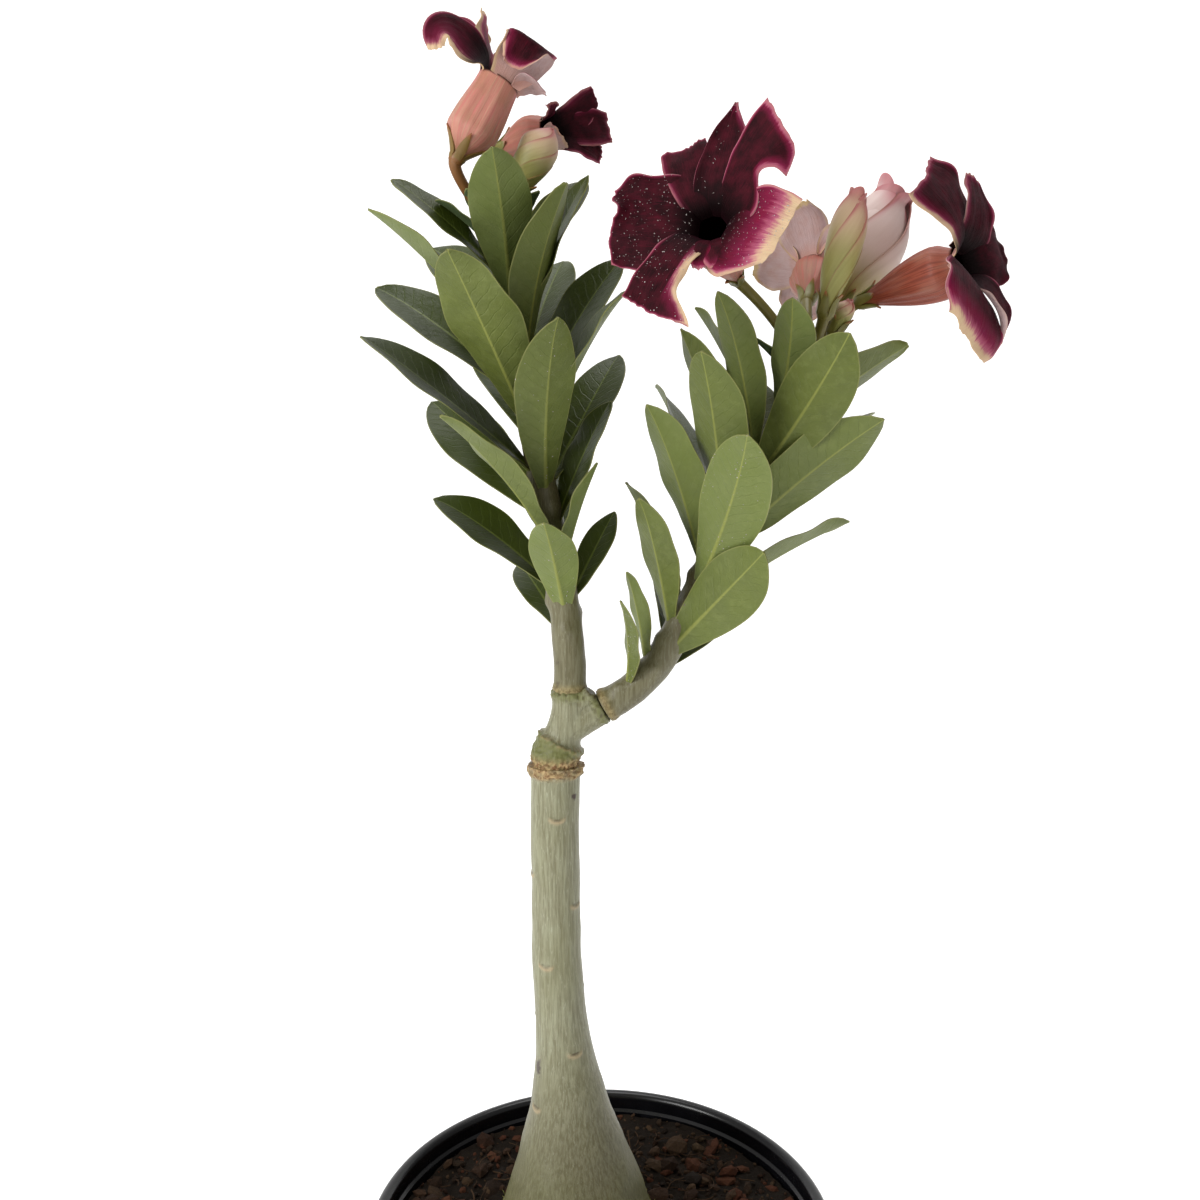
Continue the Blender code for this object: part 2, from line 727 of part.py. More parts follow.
def make_trunk(finish):
    ring_r = STEM_R + GRAFT_OUT
    rings = (
        (GRAFT_HEIGHT - GRAFT_HALF, STEM_R),
        (GRAFT_HEIGHT, ring_r),
        (GRAFT_HEIGHT + GRAFT_HALF, STEM_R),
        (COLLAR_TOP, STEM_R),
        (COLLAR_TOP + GRAFT_HALF, NECK_R),
        (NECK_TOP - GRAFT_HALF, NECK_R),
        (NECK_TOP, NECK_R),
    )
    above = [(trunk_x(height), 0, height, radius) for height, radius in rings]
    stations = np.array([*stock_stations(), *above])
    arm_foot = np.array([trunk_x(FORK_HEIGHT), 0, FORK_HEIGHT])
    arm = np.array([arm_foot, arm_foot + ARM_LENGTH * shoot_heading(SHOOTS["right_shoot"], 0)])
    shapes = [pipe(stations[:, :3], stations[:, 3], TRUNK_SIDES), pipe(arm, ARM_R, FORK_SIDES)]
    return joined("trunk", shapes, finish)


def make_pot(finish):
    """Tapered shell with a folded rim band, turned about Z, with round drain holes through its floor."""
    band_foot = POT_HEIGHT - RIM_BAND
    band_r = POT_RIM_R - 0.8
    wall_top_r = POT_RIM_R - RIM_OUT
    inner_top_r = wall_top_r - POT_WALL + 0.8
    lip = (POT_RIM_R - inner_top_r) / 2
    profile = [(0, 0), (POT_BASE_R - 2, 0), (POT_BASE_R, 2)]
    profile += [(wall_top_r - 1.5, band_foot), (band_r, band_foot)]
    for k in range(7):
        a = math.pi * k / 6
        profile.append((POT_RIM_R - lip + lip * math.cos(a), POT_HEIGHT - lip + lip * math.sin(a)))
    profile += [(POT_BASE_R - POT_WALL, POT_WALL + 1), (POT_BASE_R - POT_WALL - 1, POT_WALL), (0, POT_WALL)]
    pot = solid("pot", *lathe(profile, POT_SIDES), finish)
    holes = []
    for k in range(DRAIN_HOLES):
        a = 2 * math.pi * (k + 0.5) / DRAIN_HOLES
        points, faces = lathe([(DRAIN_R, -3), (DRAIN_R, POT_WALL + 3)], 12)
        holes.append((points + np.array([DRAIN_RING_R * math.cos(a), DRAIN_RING_R * math.sin(a), 0]), faces))
    return cut(pot, holes)


def inner_radius(height):
    """Radius of the pot's inner wall at a height."""
    low, high = POT_WALL + 1, POT_HEIGHT - 3
    foot_r = POT_BASE_R - POT_WALL
    top_r = POT_RIM_R - RIM_OUT - POT_WALL + 0.8
    return foot_r + (top_r - foot_r) * (height - low) / (high - low)


def make_soil(finish):
    """The potting mix: the pot's inner shape, with a crumbly top and a plain hole for the trunk's foot."""
    rng = random.Random(SEED)
    side_clear = GAP / math.cos(math.pi / POT_SIDES) + 0.5
    low = POT_WALL + GAP
    points = [(0, 0, low)]
    low_r = inner_radius(POT_WALL + 1) - 1 - side_clear
    top_r = inner_radius(SOIL_TOP - SOIL_RELIEF) - side_clear

    def ring(radius, height):
        start = len(points)
        for k in range(SOIL_SIDES):
            a = 2 * math.pi * k / SOIL_SIDES
            level = height() if callable(height) else height
            points.append((radius * math.cos(a), radius * math.sin(a), level))
        return list(range(start, start + SOIL_SIDES))

    def crumb():
        return SOIL_TOP + SOIL_RELIEF * rng.uniform(-1, 0.6)

    rings = [ring(low_r, low), ring(top_r, SOIL_TOP - SOIL_RELIEF - 1)]
    for i in range(1, SOIL_RINGS):
        rings.append(ring(top_r * (1 - i / SOIL_RINGS) - 0.5, crumb))
    points.append((0, 0, SOIL_TOP))
    faces = []
    for k in range(SOIL_SIDES):
        m = (k + 1) % SOIL_SIDES
        faces.append((0, rings[0][m], rings[0][k]))
        for below, above in zip(rings, rings[1:]):
            faces += [(below[k], below[m], above[m]), (below[k], above[m], above[k])]
        faces.append((rings[-1][k], rings[-1][m], len(points) - 1))
    soil = solid("soil", points, faces, finish)
    return cut(soil, [root_hole()])


def root_hole():
    """The shape that the trunk's foot leaves in the mix, with clearance all round."""
    buried = np.array([station for station in stock_stations() if station[2] < SOIL_TOP + 2 * HOLE_OVER])
    line = buried[:, :3].copy()
    radii = (buried[:, 3] + GAP) / math.cos(math.pi / TRUNK_SIDES) + 0.1
    line[0, 2] -= GAP
    return pipe(line, radii, TRUNK_SIDES)


def main():
    clear_scene()
    plastic = material("black_plastic", (0.012, 0.012, 0.014), 0.3)
    mix = material("potting_mix", (0.05, 0.03, 0.018), 0.95)
    bark = material("bark", (0.33, 0.34, 0.26), 0.55)
    green = material("leaf", (0.14, 0.22, 0.07), 0.5)
    maroon = material("petal", (0.22, 0.01, 0.05), 0.55)
    folded = material("bud", (0.62, 0.5, 0.38), 0.6)
    made = [make_pot(plastic), make_soil(mix), make_trunk(bark)]
    made += [make_shoot(name, green) for name in SHOOTS]
    made += [make_bloom(name, spec, maroon) for name, spec in BLOOMS.items()]
    made += [make_bud(name, spec, folded) for name, spec in BUDS.items()]
    for obj in made:
        shade(obj)


main()
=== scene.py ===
"""Looks of a potted desert rose (adenium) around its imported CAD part.

Sizes are in millimetres, in the part's own frame, and become metres when a mesh is made. The driving sizes
and the rules for the trunk, shoots, leaves, stalks, blooms and buds are the part's. This script gives them
finer surfaces and materials.
"""

import math
import random

import bmesh
import bpy
import numpy as np
from mathutils import Matrix


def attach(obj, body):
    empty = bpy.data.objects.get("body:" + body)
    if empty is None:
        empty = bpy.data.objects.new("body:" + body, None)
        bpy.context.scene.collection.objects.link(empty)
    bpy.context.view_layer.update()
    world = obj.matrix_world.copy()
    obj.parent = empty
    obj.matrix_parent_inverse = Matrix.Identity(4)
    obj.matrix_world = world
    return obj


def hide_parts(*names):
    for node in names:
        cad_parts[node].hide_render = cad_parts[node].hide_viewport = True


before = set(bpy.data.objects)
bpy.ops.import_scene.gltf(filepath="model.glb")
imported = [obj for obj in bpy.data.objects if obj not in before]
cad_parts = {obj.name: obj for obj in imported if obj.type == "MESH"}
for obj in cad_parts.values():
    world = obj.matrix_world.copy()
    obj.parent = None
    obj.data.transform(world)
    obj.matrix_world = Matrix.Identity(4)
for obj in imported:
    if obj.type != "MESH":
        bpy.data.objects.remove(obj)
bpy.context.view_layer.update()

MM = 0.001
BODY = "root"
SEED = 7

# ---------------------------------------------------------------- the part's own sizes
POT_RIM_R, POT_BASE_R, POT_HEIGHT, POT_WALL = 95.0, 67.0, 150.0, 2.2
RIM_BAND, RIM_OUT = 15.0, 4.2
DRAIN_HOLES, DRAIN_R, DRAIN_RING_R = 8, 5.0, 48.0
SOIL_TOP = 142.0
FOOT_X = -10.0
ROOT_BOTTOM = 90.0
BULB_HEIGHT, BULB_R, BULB_ABOVE, BULB_BELOW = 130.0, 34.0, 60.0, 50.0
STEM_R, STOCK_TOP, STOCK_RINGS = 9.5, 330.0, 14
TRUNK_LEAN, LEAN_LOW, LEAN_HIGH = 8.0, 140.0, 280.0
GRAFT_HEIGHT, GRAFT_HALF = 340.0, 3.0
COLLAR_TOP, NECK_R, NECK_STEP, NECK_TOP = 352.0, 7.0, 6.0, 370.0
SEAT = 0.7
FORK_HEIGHT, ARM_LENGTH, ARM_R = 356.0, 17.0, (7.0, 6.0)
STUB_LENGTH = 7.5
SHOOTS = {
    "left_shoot": dict(
        bearing=180, first_lean=0, lean=10, settle=25, length=175, leaves=25, nodes=(20, 155),
        first_bearing=120, lifts=(65, 42), roll=30, young=6, young_bearing=180, dew=60,
    ),
    "right_shoot": dict(
        bearing=0, first_lean=60, lean=25, settle=25, length=150, leaves=23, nodes=(10, 130),
        first_bearing=-95, lifts=(75, 36), roll=30, young=3, young_bearing=60, dew=150,
    ),
}
SHOOT_STOPS = 24
SHOOT_FOOT_R, SHOOT_TIP_R = 6.2, 3.4

GOLDEN_ANGLE = 137.5
LEAF_REACH, LEAF_FULL, LEAF_LESS, CROWDED_LESS = 85.0, 0.5, 0.4, 0.45
LEAF_SLENDER, BACK_DROOP = 0.33, 15.0
YOUNG_REACH, YOUNG_SLENDER, YOUNG_LENGTH, YOUNG_LIFT, YOUNG_ARCH = 30.0, 0.4, 10.0, 40.0, 16.0
LEAF_BROADEST, LEAF_ROUND = 1.55, 0.66
PETIOLE_HALF = 1.5
LEAF_THICK = 0.8

BLOOM_STALK, BUD_STALK, STALK_LIFT = 35.0, 25.0, 50.0
TUBE_FOOT_R, TUBE_WALL = 2.3, 0.9
PETAL_THICK = 0.6
BUD_FOOT_R, BUD_RIDGE = 2.3, 0.10
STALK_R, CUP_R, CUP_HEIGHT = 1.9, 2.9, 3.0
SEPAL_LENGTH, SEPAL_WIDTH = 7.0, 3.2

# Fineness of the pieces: points along and across, or rings and sides
LEAF_ROWS, PETAL_ROWS, PETAL_COLS = 30, 40, 31
HALF_LEAF = np.array([0.06, 0.16, 0.3, 0.47, 0.64, 0.8, 0.93, 1.0])
LEAF_ACROSS = np.concatenate([-HALF_LEAF[::-1], [0], HALF_LEAF])
STEM_RINGS, STEM_SIDES, STALK_RINGS, STALK_SIDES = 130, 40, 26, 14
SEPAL_ROWS, SEPAL_COLS, CUP_SIDES = 10, 7, 20
TUBE_RINGS, TUBE_SIDES, BUD_ROWS, BUD_COLS = 34, 60, 44, 26
TRUNK_STEPS, TRUNK_SIDES, POT_SIDES, SOIL_SIDES, SOIL_RINGS = 24, 150, 160, 200, 66
DROP_SIDES, DROP_RINGS = 7, ((1.0, 0.0), (0.82, 0.45), (0.42, 0.75))


def lobe(turn, length, lean, left, right=None, **more):
    """One petal's form, with the usual values for what isn't given.

    It stands at a turn about its bloom's axis. Along its length, at even steps, lean is its angle to the
    axis, left and right are its half widths seen from above with the tip up, and twist turns its face. bend
    sweeps it sideways. Across it, from left to right, end is how far its tip reaches past the length, and tip
    how far that curls back between the shares tip_from and tip_to. cup and the rolls turn up its sides. pale
    is the width of its pale margin at the left, the end and the right, flush its magenta, and ruffle the
    waves of its edge.
    """
    usual = dict(end=(-1, 0.5, -1), tip=0, tip_from=0.62, tip_to=1.0, twist=0, bend=0, cup=0, roll_left=0,
                 roll_right=0, pale=(1, 1, 1), flush=0.5, ruffle=0.6)
    given = dict(turn=turn, length=length, lean=lean, left=left, right=right or left)
    return {**usual, **given, **more}


# side and stretch place the stalk, bearing and lift turn the axis, and sunk is how deep the petals start.
BLOOMS = {
    "bloom_front": dict(
        shoot="right_shoot", side=190, stretch=1.2, bearing=-110, lift=20, tube=38, girth=9.0, belly=0.75,
        throat=5.2, sunk=2.5, size=1.0, warm=0.5, petals=(
            lobe(180, 31, (10, 62, 80, 84, 84, 82), (7, 15, 18.5, 18.5, 17.5, 14),
                 (7, 15, 16.5, 16, 15.5, 11.5), end=(-1, 0.8, 0.5, -2.6, 1.2, -1),
                 tip=(30, 10, 0, -35, 0, 20), cup=14, roll_right=34, pale=(0.25, 0.3, 0.3), flush=0.55,
                 ruffle=1.0),
            lobe(111, 28, (10, 66, 84, 88), (5, 8, 9.5, 9.5), (5, 8, 8, 7), end=(2.5, 0, -2.4, -1, 0),
                 tip=(30, 20, 10), cup=-10, pale=(0.7, 0.5, 0.1), flush=0.4, ruffle=0.5),
            lobe(78, 38, (10, 58, 76, 80, 78), (5, 7.5, 7, 4.4, 0.5), (5, 8, 10.5, 7, 0.5), end=0, bend=6,
                 cup=10, roll_left=26, pale=(0.1, 0.8, 0.8), flush=0.55, ruffle=0.5),
            lobe(38, 37, (10, 44, 58, 60, 60, 58), (4, 5.5, 8, 10.5, 12, 12), (7, 10.5, 11, 2.2, 4.5, 9),
                 end=(5.5, 2.5, 0.5, -3, -11), tip=(0, 0, 10, 60, 70), roll_left=24,
                 roll_right=(0, 34, 20, -30, -60, -60), pale=(0.3, 0.9, 0.8), flush=0.75, ruffle=0.4),
            lobe(-24, 29, (10, 46, 64, 72, 76), (6, 10, 13.5, 15.5, 15.5), (8, 15.5, 17.5, 15, 9),
                 end=(-1.5, 0.6, 0.8, 0.8, -2), tip=(50, 30, 20, 20, 30), cup=12, roll_left=24,
                 roll_right=-16, pale=(0.1, 5.2, 1.6), flush=1),
            lobe(247, 37, (10, 60, 80, 86, 88), (7, 5, 3.2, 4.8, 15), (7, 9, 10.5, 12, 12),
                 end=(0.5, 0.6, 0.8, -0.5, -2), cup=6, pale=(2.6, 0.3, 0.3), flush=0.6, ruffle=0.8),
            lobe(264, 18, (10, 30, 56, 100, 150), (3, 4.4, 5, 4.6, 3), (3, 4, 4.4, 4, 2.4), cup=-60,
                 pale=(0.8, 1, 0.8), flush=1, ruffle=0.4),
            lobe(288, 18, (10, 34, 60, 90, 110), (4, 5, 5.6, 5.6, 4), (4, 5, 5.4, 5, 3), cup=-30,
                 pale=(0.9, 1.2, 0.9), flush=0.7, ruffle=0.4),
        ),
    ),
    "bloom_left": dict(
        shoot="left_shoot", side=-130, stretch=0.8, bearing=15, lift=60, tube=32, girth=9.0, belly=0.35,
        throat=6.6, sunk=3, size=0.8, warm=0.0, petals=(
            lobe(100, 38, (20, 70, 76, 84, 120, 190, 220), (6, 8.5, 10, 9.5, 8, 6, 4),
                 (6, 8, 9, 8.5, 7, 5.5, 3.5), twist=(-20, -50, -62, -62, -60, -50, -40), cup=22,
                 roll_left=-20, pale=(2.4, 2.2, 0.4), ruffle=0.5),
            lobe(66, 38, (10, 56, 62, 70, 100, 130), (5, 6, 7, 8.5, 7.5, 5), (5, 6, 7, 7.5, 6, 3.5),
                 end=(-1, 0.6, -1), twist=(0, -20, -50, -60, -60), pale=(0.2, 0.3, 0.3)),
            lobe(40, 31, (10, 34, 40, 40, 34), (5, 8, 11, 12, 10), end=(-1, 1.6, -0.6, 1.4, -1.4),
                 twist=(0, 10, 20, 20, 20), pale=(2.4, 3.6, 2.4), flush=0.9, ruffle=1.3),
            lobe(350, 27, (0, 30, 46, 56), (6, 8, 10, 8), end=(-2, 0, -2), pale=(1, 1.4, 1), flush=0.4),
            lobe(190, 38, (0, 8, 18, 24, 28, 30), (8, 12, 14, 14, 12, 7), (7, 9.5, 12, 12.5, 11, 8),
                 end=(-3, -1.5, -1, -1.5, -3), tip=(90, 130, 170, 170, 150), tip_from=0.44, tip_to=0.72,
                 cup=-26, roll_right=-50, pale=(0.8, 1.3, 1.6), flush=0.7, ruffle=0.5),
            lobe(244, 17, (0, 40, 76, 96, 104), (6, 8.5, 8, 6, 3), (6, 9, 10, 9, 5), end=(-1, 0, -1), cup=-20,
                 pale=(0.6, 0.8, 0.6), flush=0.3, ruffle=0.3),
        ),
    ),
    "bloom_left_back": dict(
        shoot="left_shoot", side=90, stretch=1.2, bearing=-30, lift=10, tube=25, girth=8.0, belly=0.7,
        throat=5.0, sunk=3, size=0.9, warm=0.5, petals=(
            lobe(36, 25, (4, 50, 66, 74), (5, 6.5, 7, 6), (5, 6.5, 6, 3), cup=30, pale=(0.9, 0.3, 0.3),
                 flush=0.3, ruffle=0.4),
            lobe(6, 28, (4, 50, 70, 78), (5, 7, 8, 6.5), (5, 7, 7.5, 6), cup=16, pale=(0.7, 1, 0.9),
                 flush=0.35, ruffle=0.5),
            lobe(112, 9, (4, 40, 70), (4, 5, 4), end=(-1, 0, -1), flush=0.2),
            lobe(222, 11, (4, 20, 40), (4, 6, 5), end=(-1, 0, -1), pale=(1, 1.4, 1), flush=0.2),
            lobe(338, 24, (4, 50, 76, 84), (5, 6, 6, 4), end=(-1, 0, -1), pale=(0.5, 0.5, 0.5), flush=0.6),
        ),
    ),
    "bloom_right": dict(
        shoot="right_shoot", side=-10, stretch=0.9, bearing=-40, lift=15, tube=40, girth=9.5, belly=0.85,
        throat=5.4, sunk=3, size=0.92, warm=1.0, petals=(
            lobe(126, 37, (10, 62, 82, 92, 98, 102), (6, 7.5, 10, 14, 19, 21.5),
                 (7, 12.5, 15.5, 16.5, 15.5, 12),
                 end=(2, 0, -0.5, 0.5, 1.5), tip=(-10, 0, 20, 30, 20), cup=-8,
                 roll_left=(0, -10, -20, -20, -10), pale=(1.8, 0.7, 0.6), flush=0.55, ruffle=0.8),
            lobe(236, 36, (10, 54, 80, 88, 92, 94), (8, 15, 20, 22, 22, 18), (8, 15, 20, 22, 20, 15),
                 end=(-1, 1, 0, 1, -1), tip=(40, 40, 30, 10, 0), cup=-14, pale=(0.7, 4.2, 0.7), flush=1,
                 ruffle=1.2),
            lobe(292, 31, (10, 50, 72, 86, 110, 140), (5, 8, 9, 9, 8, 5), cup=10,
                 roll_right=(0, 30, 60, 90, 90), pale=(0.5, 1.6, 1), flush=0.8),
            lobe(14, 26, (10, 60, 80, 90, 100), (7, 12, 14, 13, 9), (7, 12, 13, 12, 8), pale=(0.3, 0.3, 0.3),
                 flush=0.12, ruffle=0.8),
            lobe(74, 33, (10, 56, 82, 96, 102), (7, 10, 10, 8, 4.5), (7, 11, 12, 10, 6), pale=(1, 1.2, 0.6),
                 flush=0.6),
        ),
    ),
    "bloom_back": dict(
        shoot="right_shoot", side=80, stretch=1.0, bearing=75, lift=30, tube=30, girth=8.5, belly=0.75,
        throat=5.8, sunk=3, size=0.78, warm=0.5, petals=tuple(
            lobe(72 * k, 29 + k % 2, (8, 56, 78, 90, 98), (7, 11, 13.5, 13, 9), (7, 11, 13, 12.5, 8),
                 end=(-1.5, 0.6, -0.5, 0.8, -1.5), tip=(30, 10, 30), twist=(0, 4, 10, 14), cup=-12,
                 roll_left=(0, 30, 60, 80) if k % 2 else 20, pale=(1.4, 2.4, 1.4), flush=0.9, ruffle=1.0)
            for k in range(5)
        ),
    ),
}
BUDS = {
    "bud_left": dict(
        shoot="left_shoot", side=-30, stretch=0.5, bearing=0, lift=60, length=27, radius=6.5, fat=0.65,
        tip=1.0, twist=230, lilac=0.0, green=0.9, opening=0.0,
    ),
    "bud_tall": dict(
        shoot="right_shoot", side=-75, stretch=1.0, bearing=-30, lift=75, length=42, radius=6.0, fat=0.6,
        tip=2.2, twist=150, lilac=0.0, green=0.9, opening=0.3,
    ),
    "bud_half_open": dict(
        shoot="right_shoot", side=40, stretch=1.2, bearing=10, lift=65, length=50, radius=12.5, fat=0.45,
        tip=4.5, twist=110, lilac=0.9, green=0.1, opening=1.0,
    ),
    "bud_small": dict(
        shoot="right_shoot", side=-35, stretch=0.7, bearing=-40, lift=60, length=12, radius=3.2, fat=0.6,
        tip=1.0, twist=150, lilac=0.0, green=1.0, opening=0.0,
    ),
}
SCARS = tuple((-83 + k * GOLDEN_ANGLE, 322 - 12 * k) for k in range(11))  # bearing and height of leaf scars
DEW_ON_PETAL = {0: 240, 4: 210, 5: 140, 2: 40}  # drops on each of the front bloom's petals
DEW_FACING = 32  # degrees to either side of the front within which a leaf bears dew

UP = np.array([0.0, 0.0, 1.0])
FULL_TURN = 6.283
TUBE_BORE_R, SEPAL_THICK, FOLD_THICK, STUB_R, CROWN_SIDES, CROWN_VOXEL = 1.2, 0.6, 0.5, (3.6, 3.1), 28, 0.45

# The stage, in metres
CAMERA_PLACE, CAMERA_DOWN = (-0.0005, -0.451, 0.4753), 8.7
WORLD_DARK, WORLD_BRIGHT, BRIGHT_SIDE = 0.09, 0.56, (-0.66, -0.66, 0.36)
LAMPS = (  # name, place, what it's aimed at, size and power in watts
    ("key", (-1.25, -1.05, 0.95), (0, 0, 0.42), 0.8, 18),
    ("top", (0.1, 0.25, 2.1), (0, 0, 0.3), 1.3, 14),
)
FLOOR_HALF, FLOOR_FRONT, FLOOR_BACK, FLOOR_BEND, WALL_TOP = 4, -3, 1.6, 1.2, 4.0


# ---------------------------------------------------------------- vectors and noise
def unit(v):
    v = np.asarray(v, float)
    return v / np.maximum(np.linalg.norm(v, axis=-1, keepdims=True), 1e-12)


def bearing_vector(bearing, lift):
    b, e = math.radians(bearing), math.radians(lift)
    return np.array([math.cos(e) * math.cos(b), math.cos(e) * math.sin(b), math.sin(e)])


def turned(v, axis, degrees):
    a, k = math.radians(degrees), unit(axis)
    return v * math.cos(a) + np.cross(k, v) * math.sin(a) + k * np.dot(k, v) * (1 - math.cos(a))


def ease(x, low, high):
    """A smooth step from 0 at low to 1 at high."""
    u = np.clip((np.asarray(x, float) - low) / (high - low), 0, 1)
    return u * u * (3 - 2 * u)


def stacked(*values):
    """Values spread to one shape and laid side by side along a last axis."""
    return np.stack(np.broadcast_arrays(*values), -1)


def cell_value(i, j, k, seed):
    """A number from 0 to 1 that belongs to a cell, by integer hashing."""
    h = (i * 374761393 + j * 668265263 + k * 2147483647 + seed * 974634777) & 0xFFFFFFFF
    h = ((h ^ (h >> 13)) * 1274126177) & 0xFFFFFFFF
    return ((h ^ (h >> 16)) & 0xFFFFFF) / float(0xFFFFFF)


def noise(points, size, seed=0):
    """Smooth noise from -1 to 1 whose lumps are about size across."""
    p = np.asarray(points, float) / size
    cell = np.floor(p).astype(np.int64)
    f = p - cell
    f = f * f * (3 - 2 * f)
    total = 0
    for dx in (0, 1):
        for dy in (0, 1):
            for dz in (0, 1):
                w = (f[..., 0] if dx else 1 - f[..., 0]) * (f[..., 1] if dy else 1 - f[..., 1])
                w = w * (f[..., 2] if dz else 1 - f[..., 2])
                total = total + w * cell_value(cell[..., 0] + dx, cell[..., 1] + dy, cell[..., 2] + dz, seed)
    return total * 2 - 1


def layered(points, size, octaves=3, seed=0):
    total, scale, weight = 0, size, 1.0
    for k in range(octaves):
        total = total + weight * noise(points, scale, seed + 17 * k)
        scale, weight = scale / 2.1, weight / 2
    return total / 1.6


def placed_basis(axis):
    """Axes across, up and along, as columns, for a form made about Z."""
    up = unit(axis)
    across = unit(np.cross((0, 0, 1), up))
    return np.stack([across, np.cross(up, across), up], axis=1)


# ---------------------------------------------------------------- meshes
class Patch:
    """Vertices, faces and per-vertex marks that end up in one piece."""

    def __init__(self):
        self.points, self.faces, self.marks, self.count = [], [], {}, 0

    def add(self, points, faces, **marks):
        points = np.asarray(points, float).reshape(-1, 3)
        self.points.append(points)
        self.faces.append(np.asarray(faces, np.int64) + self.count)
        for name, values in marks.items():
            values = np.broadcast_to(np.asarray(values, float), (len(points), 3))
            self.marks.setdefault(name, []).append((self.count, values))
        self.count += len(points)

    def piece(self, name, look, slot, *nodes, sharp=50):
        """The object, shaded smooth but for edges over sharp degrees, or flat all over where sharp is 0."""
        points = np.concatenate(self.points)
        mesh = bpy.data.meshes.new(name)
        flat = np.concatenate([faces.reshape(-1) for faces in self.faces])
        sizes = np.concatenate([np.full(len(faces), faces.shape[1]) for faces in self.faces])
        mesh.vertices.add(len(points))
        mesh.vertices.foreach_set("co", (points * MM).astype(np.float32).reshape(-1))
        mesh.loops.add(len(flat))
        mesh.loops.foreach_set("vertex_index", flat.astype(np.int32))
        mesh.polygons.add(len(sizes))
        mesh.polygons.foreach_set("loop_start", (np.cumsum(sizes) - sizes).astype(np.int32))
        mesh.polygons.foreach_set("loop_total", sizes.astype(np.int32))
        mesh.update(calc_edges=True)
        for mark, rows in self.marks.items():
            values = np.zeros((len(points), 3))
            for start, row in rows:
                values[start:start + len(row)] = row
            mark_points(mesh, mark, values)
        mesh.shade_smooth()
        if sharp:
            mesh.set_sharp_from_angle(angle=math.radians(sharp))
        else:
            mesh.shade_flat()
        obj = bpy.data.objects.new(name, mesh)
        bpy.context.scene.collection.objects.link(obj)
        mesh.materials.append(look)
        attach(obj, BODY)
        if nodes:
            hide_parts(*nodes)
        return obj


def mark_points(mesh, name, values):
    data = mesh.attributes.new(name, "FLOAT_VECTOR", "POINT").data
    data.foreach_set("vector", np.asarray(values, np.float32).reshape(-1))


def baked(obj):
    """The mesh of an object after its modifiers, which are then taken off it."""
    bpy.context.view_layer.update()
    mesh = bpy.data.meshes.new_from_object(obj.evaluated_get(bpy.context.evaluated_depsgraph_get()))
    obj.modifiers.clear()
    obj.data = mesh
    mesh.shade_smooth()
    return mesh


def grid_faces(rows, cols, wrap=False):
    i = np.arange(rows - 1)[:, None]
    j = np.arange(cols if wrap else cols - 1)[None, :]
    a, b = i * cols + j, i * cols + (j + 1) % cols
    return np.stack([a, b, b + cols, a + cols], -1).reshape(-1, 4)


def blade(patch, middle, thick, marks, place, tint, rib=0.0):
    """A closed thin sheet about a grid of points; a third mark becomes 1 on the upper face and 0 below."""
    rows, cols = middle.shape[:2]
    normals = unit(np.cross(np.gradient(middle, axis=1), np.gradient(middle, axis=0)))
    thick, rib = (np.broadcast_to(value, (rows, cols))[..., None] for value in (thick, rib))
    top = middle + normals * thick / 2 - normals * rib * 0.25
    low = middle - normals * thick / 2 - normals * rib
    faces = grid_faces(rows, cols)
    index = np.arange(rows * cols).reshape(rows, cols)
    edge = np.concatenate([index[0], index[1:, -1], index[-1, -2::-1], index[-2:0:-1, 0]])
    after, n = np.roll(edge, -1), rows * cols
    rim = np.stack([after, edge, edge + n, after + n], -1)
    both = [stacked(marks[..., 0], marks[..., 1], side).reshape(-1, 3) for side in (1.0, 0.0)]
    patch.add(np.concatenate([top.reshape(-1, 3), low.reshape(-1, 3)]),
              np.concatenate([faces, faces[:, ::-1] + n, rim]), blade=np.concatenate(both),
              place=np.tile(place.reshape(-1, 3), (2, 1)), tint=tint)
    return top, low, normals


def smooth_line(stops, steps):
    """A curve through stops, with a number of even steps between each two."""
    p = np.array(stops, float)
    line = []
    for i in range(len(p) - 1):
        a, b, c, d = p[max(i - 1, 0)], p[i], p[i + 1], p[min(i + 2, len(p) - 1)]
        for u in np.arange(steps) / steps:
            line.append(0.5 * (2 * b + (c - a) * u + (2 * a - 5 * b + 4 * c - d) * u**2
                               + (3 * b - a - 3 * c + d) * u**3))
    return np.array([*line, p[-1]])


def frames(line):
    """Tangents and untwisted normals of a line."""
    tangents = unit(np.gradient(line, axis=0))
    normal = unit(np.cross(tangents[0], (0, 1, 0)))
    normals = []
    for t in tangents:
        normal = unit(normal - t * np.dot(normal, t))
        normals.append(normal)
    return tangents, np.array(normals)


def pipe_grid(line, radii, sides):
    """Points of a round pipe, ring by ring, and the outward direction at each."""
    tangents, normals = frames(line)
    angles = 2 * np.pi * np.arange(sides)[None, :, None] / sides
    binormals = np.cross(tangents, normals)
    out = np.cos(angles) * normals[:, None] + np.sin(angles) * binormals[:, None]
    return line[:, None] + out * np.broadcast_to(radii, len(line))[:, None, None], out


def add_tube(patch, grid, **marks):
    """A capped tube from a grid whose rows are its rings."""
    rows, sides = grid.shape[:2]
    start, n = patch.count, rows * sides
    k = np.arange(sides)
    m = (k + 1) % sides
    foot = np.stack([np.full(sides, n), m, k], -1)
    head = np.stack([np.full(sides, n + 1), n - sides + k, n - sides + m], -1)

    def with_caps(values):
        values = np.broadcast_to(np.asarray(values, float), (rows, sides, 3))
        return np.concatenate([values.reshape(-1, 3), values[0].mean(0)[None], values[-1].mean(0)[None]])

    full = {name: with_caps(values) for name, values in marks.items()}
    patch.add(with_caps(grid), grid_faces(rows, sides, True), **full)
    patch.faces.append(np.concatenate([foot, head]) + start)


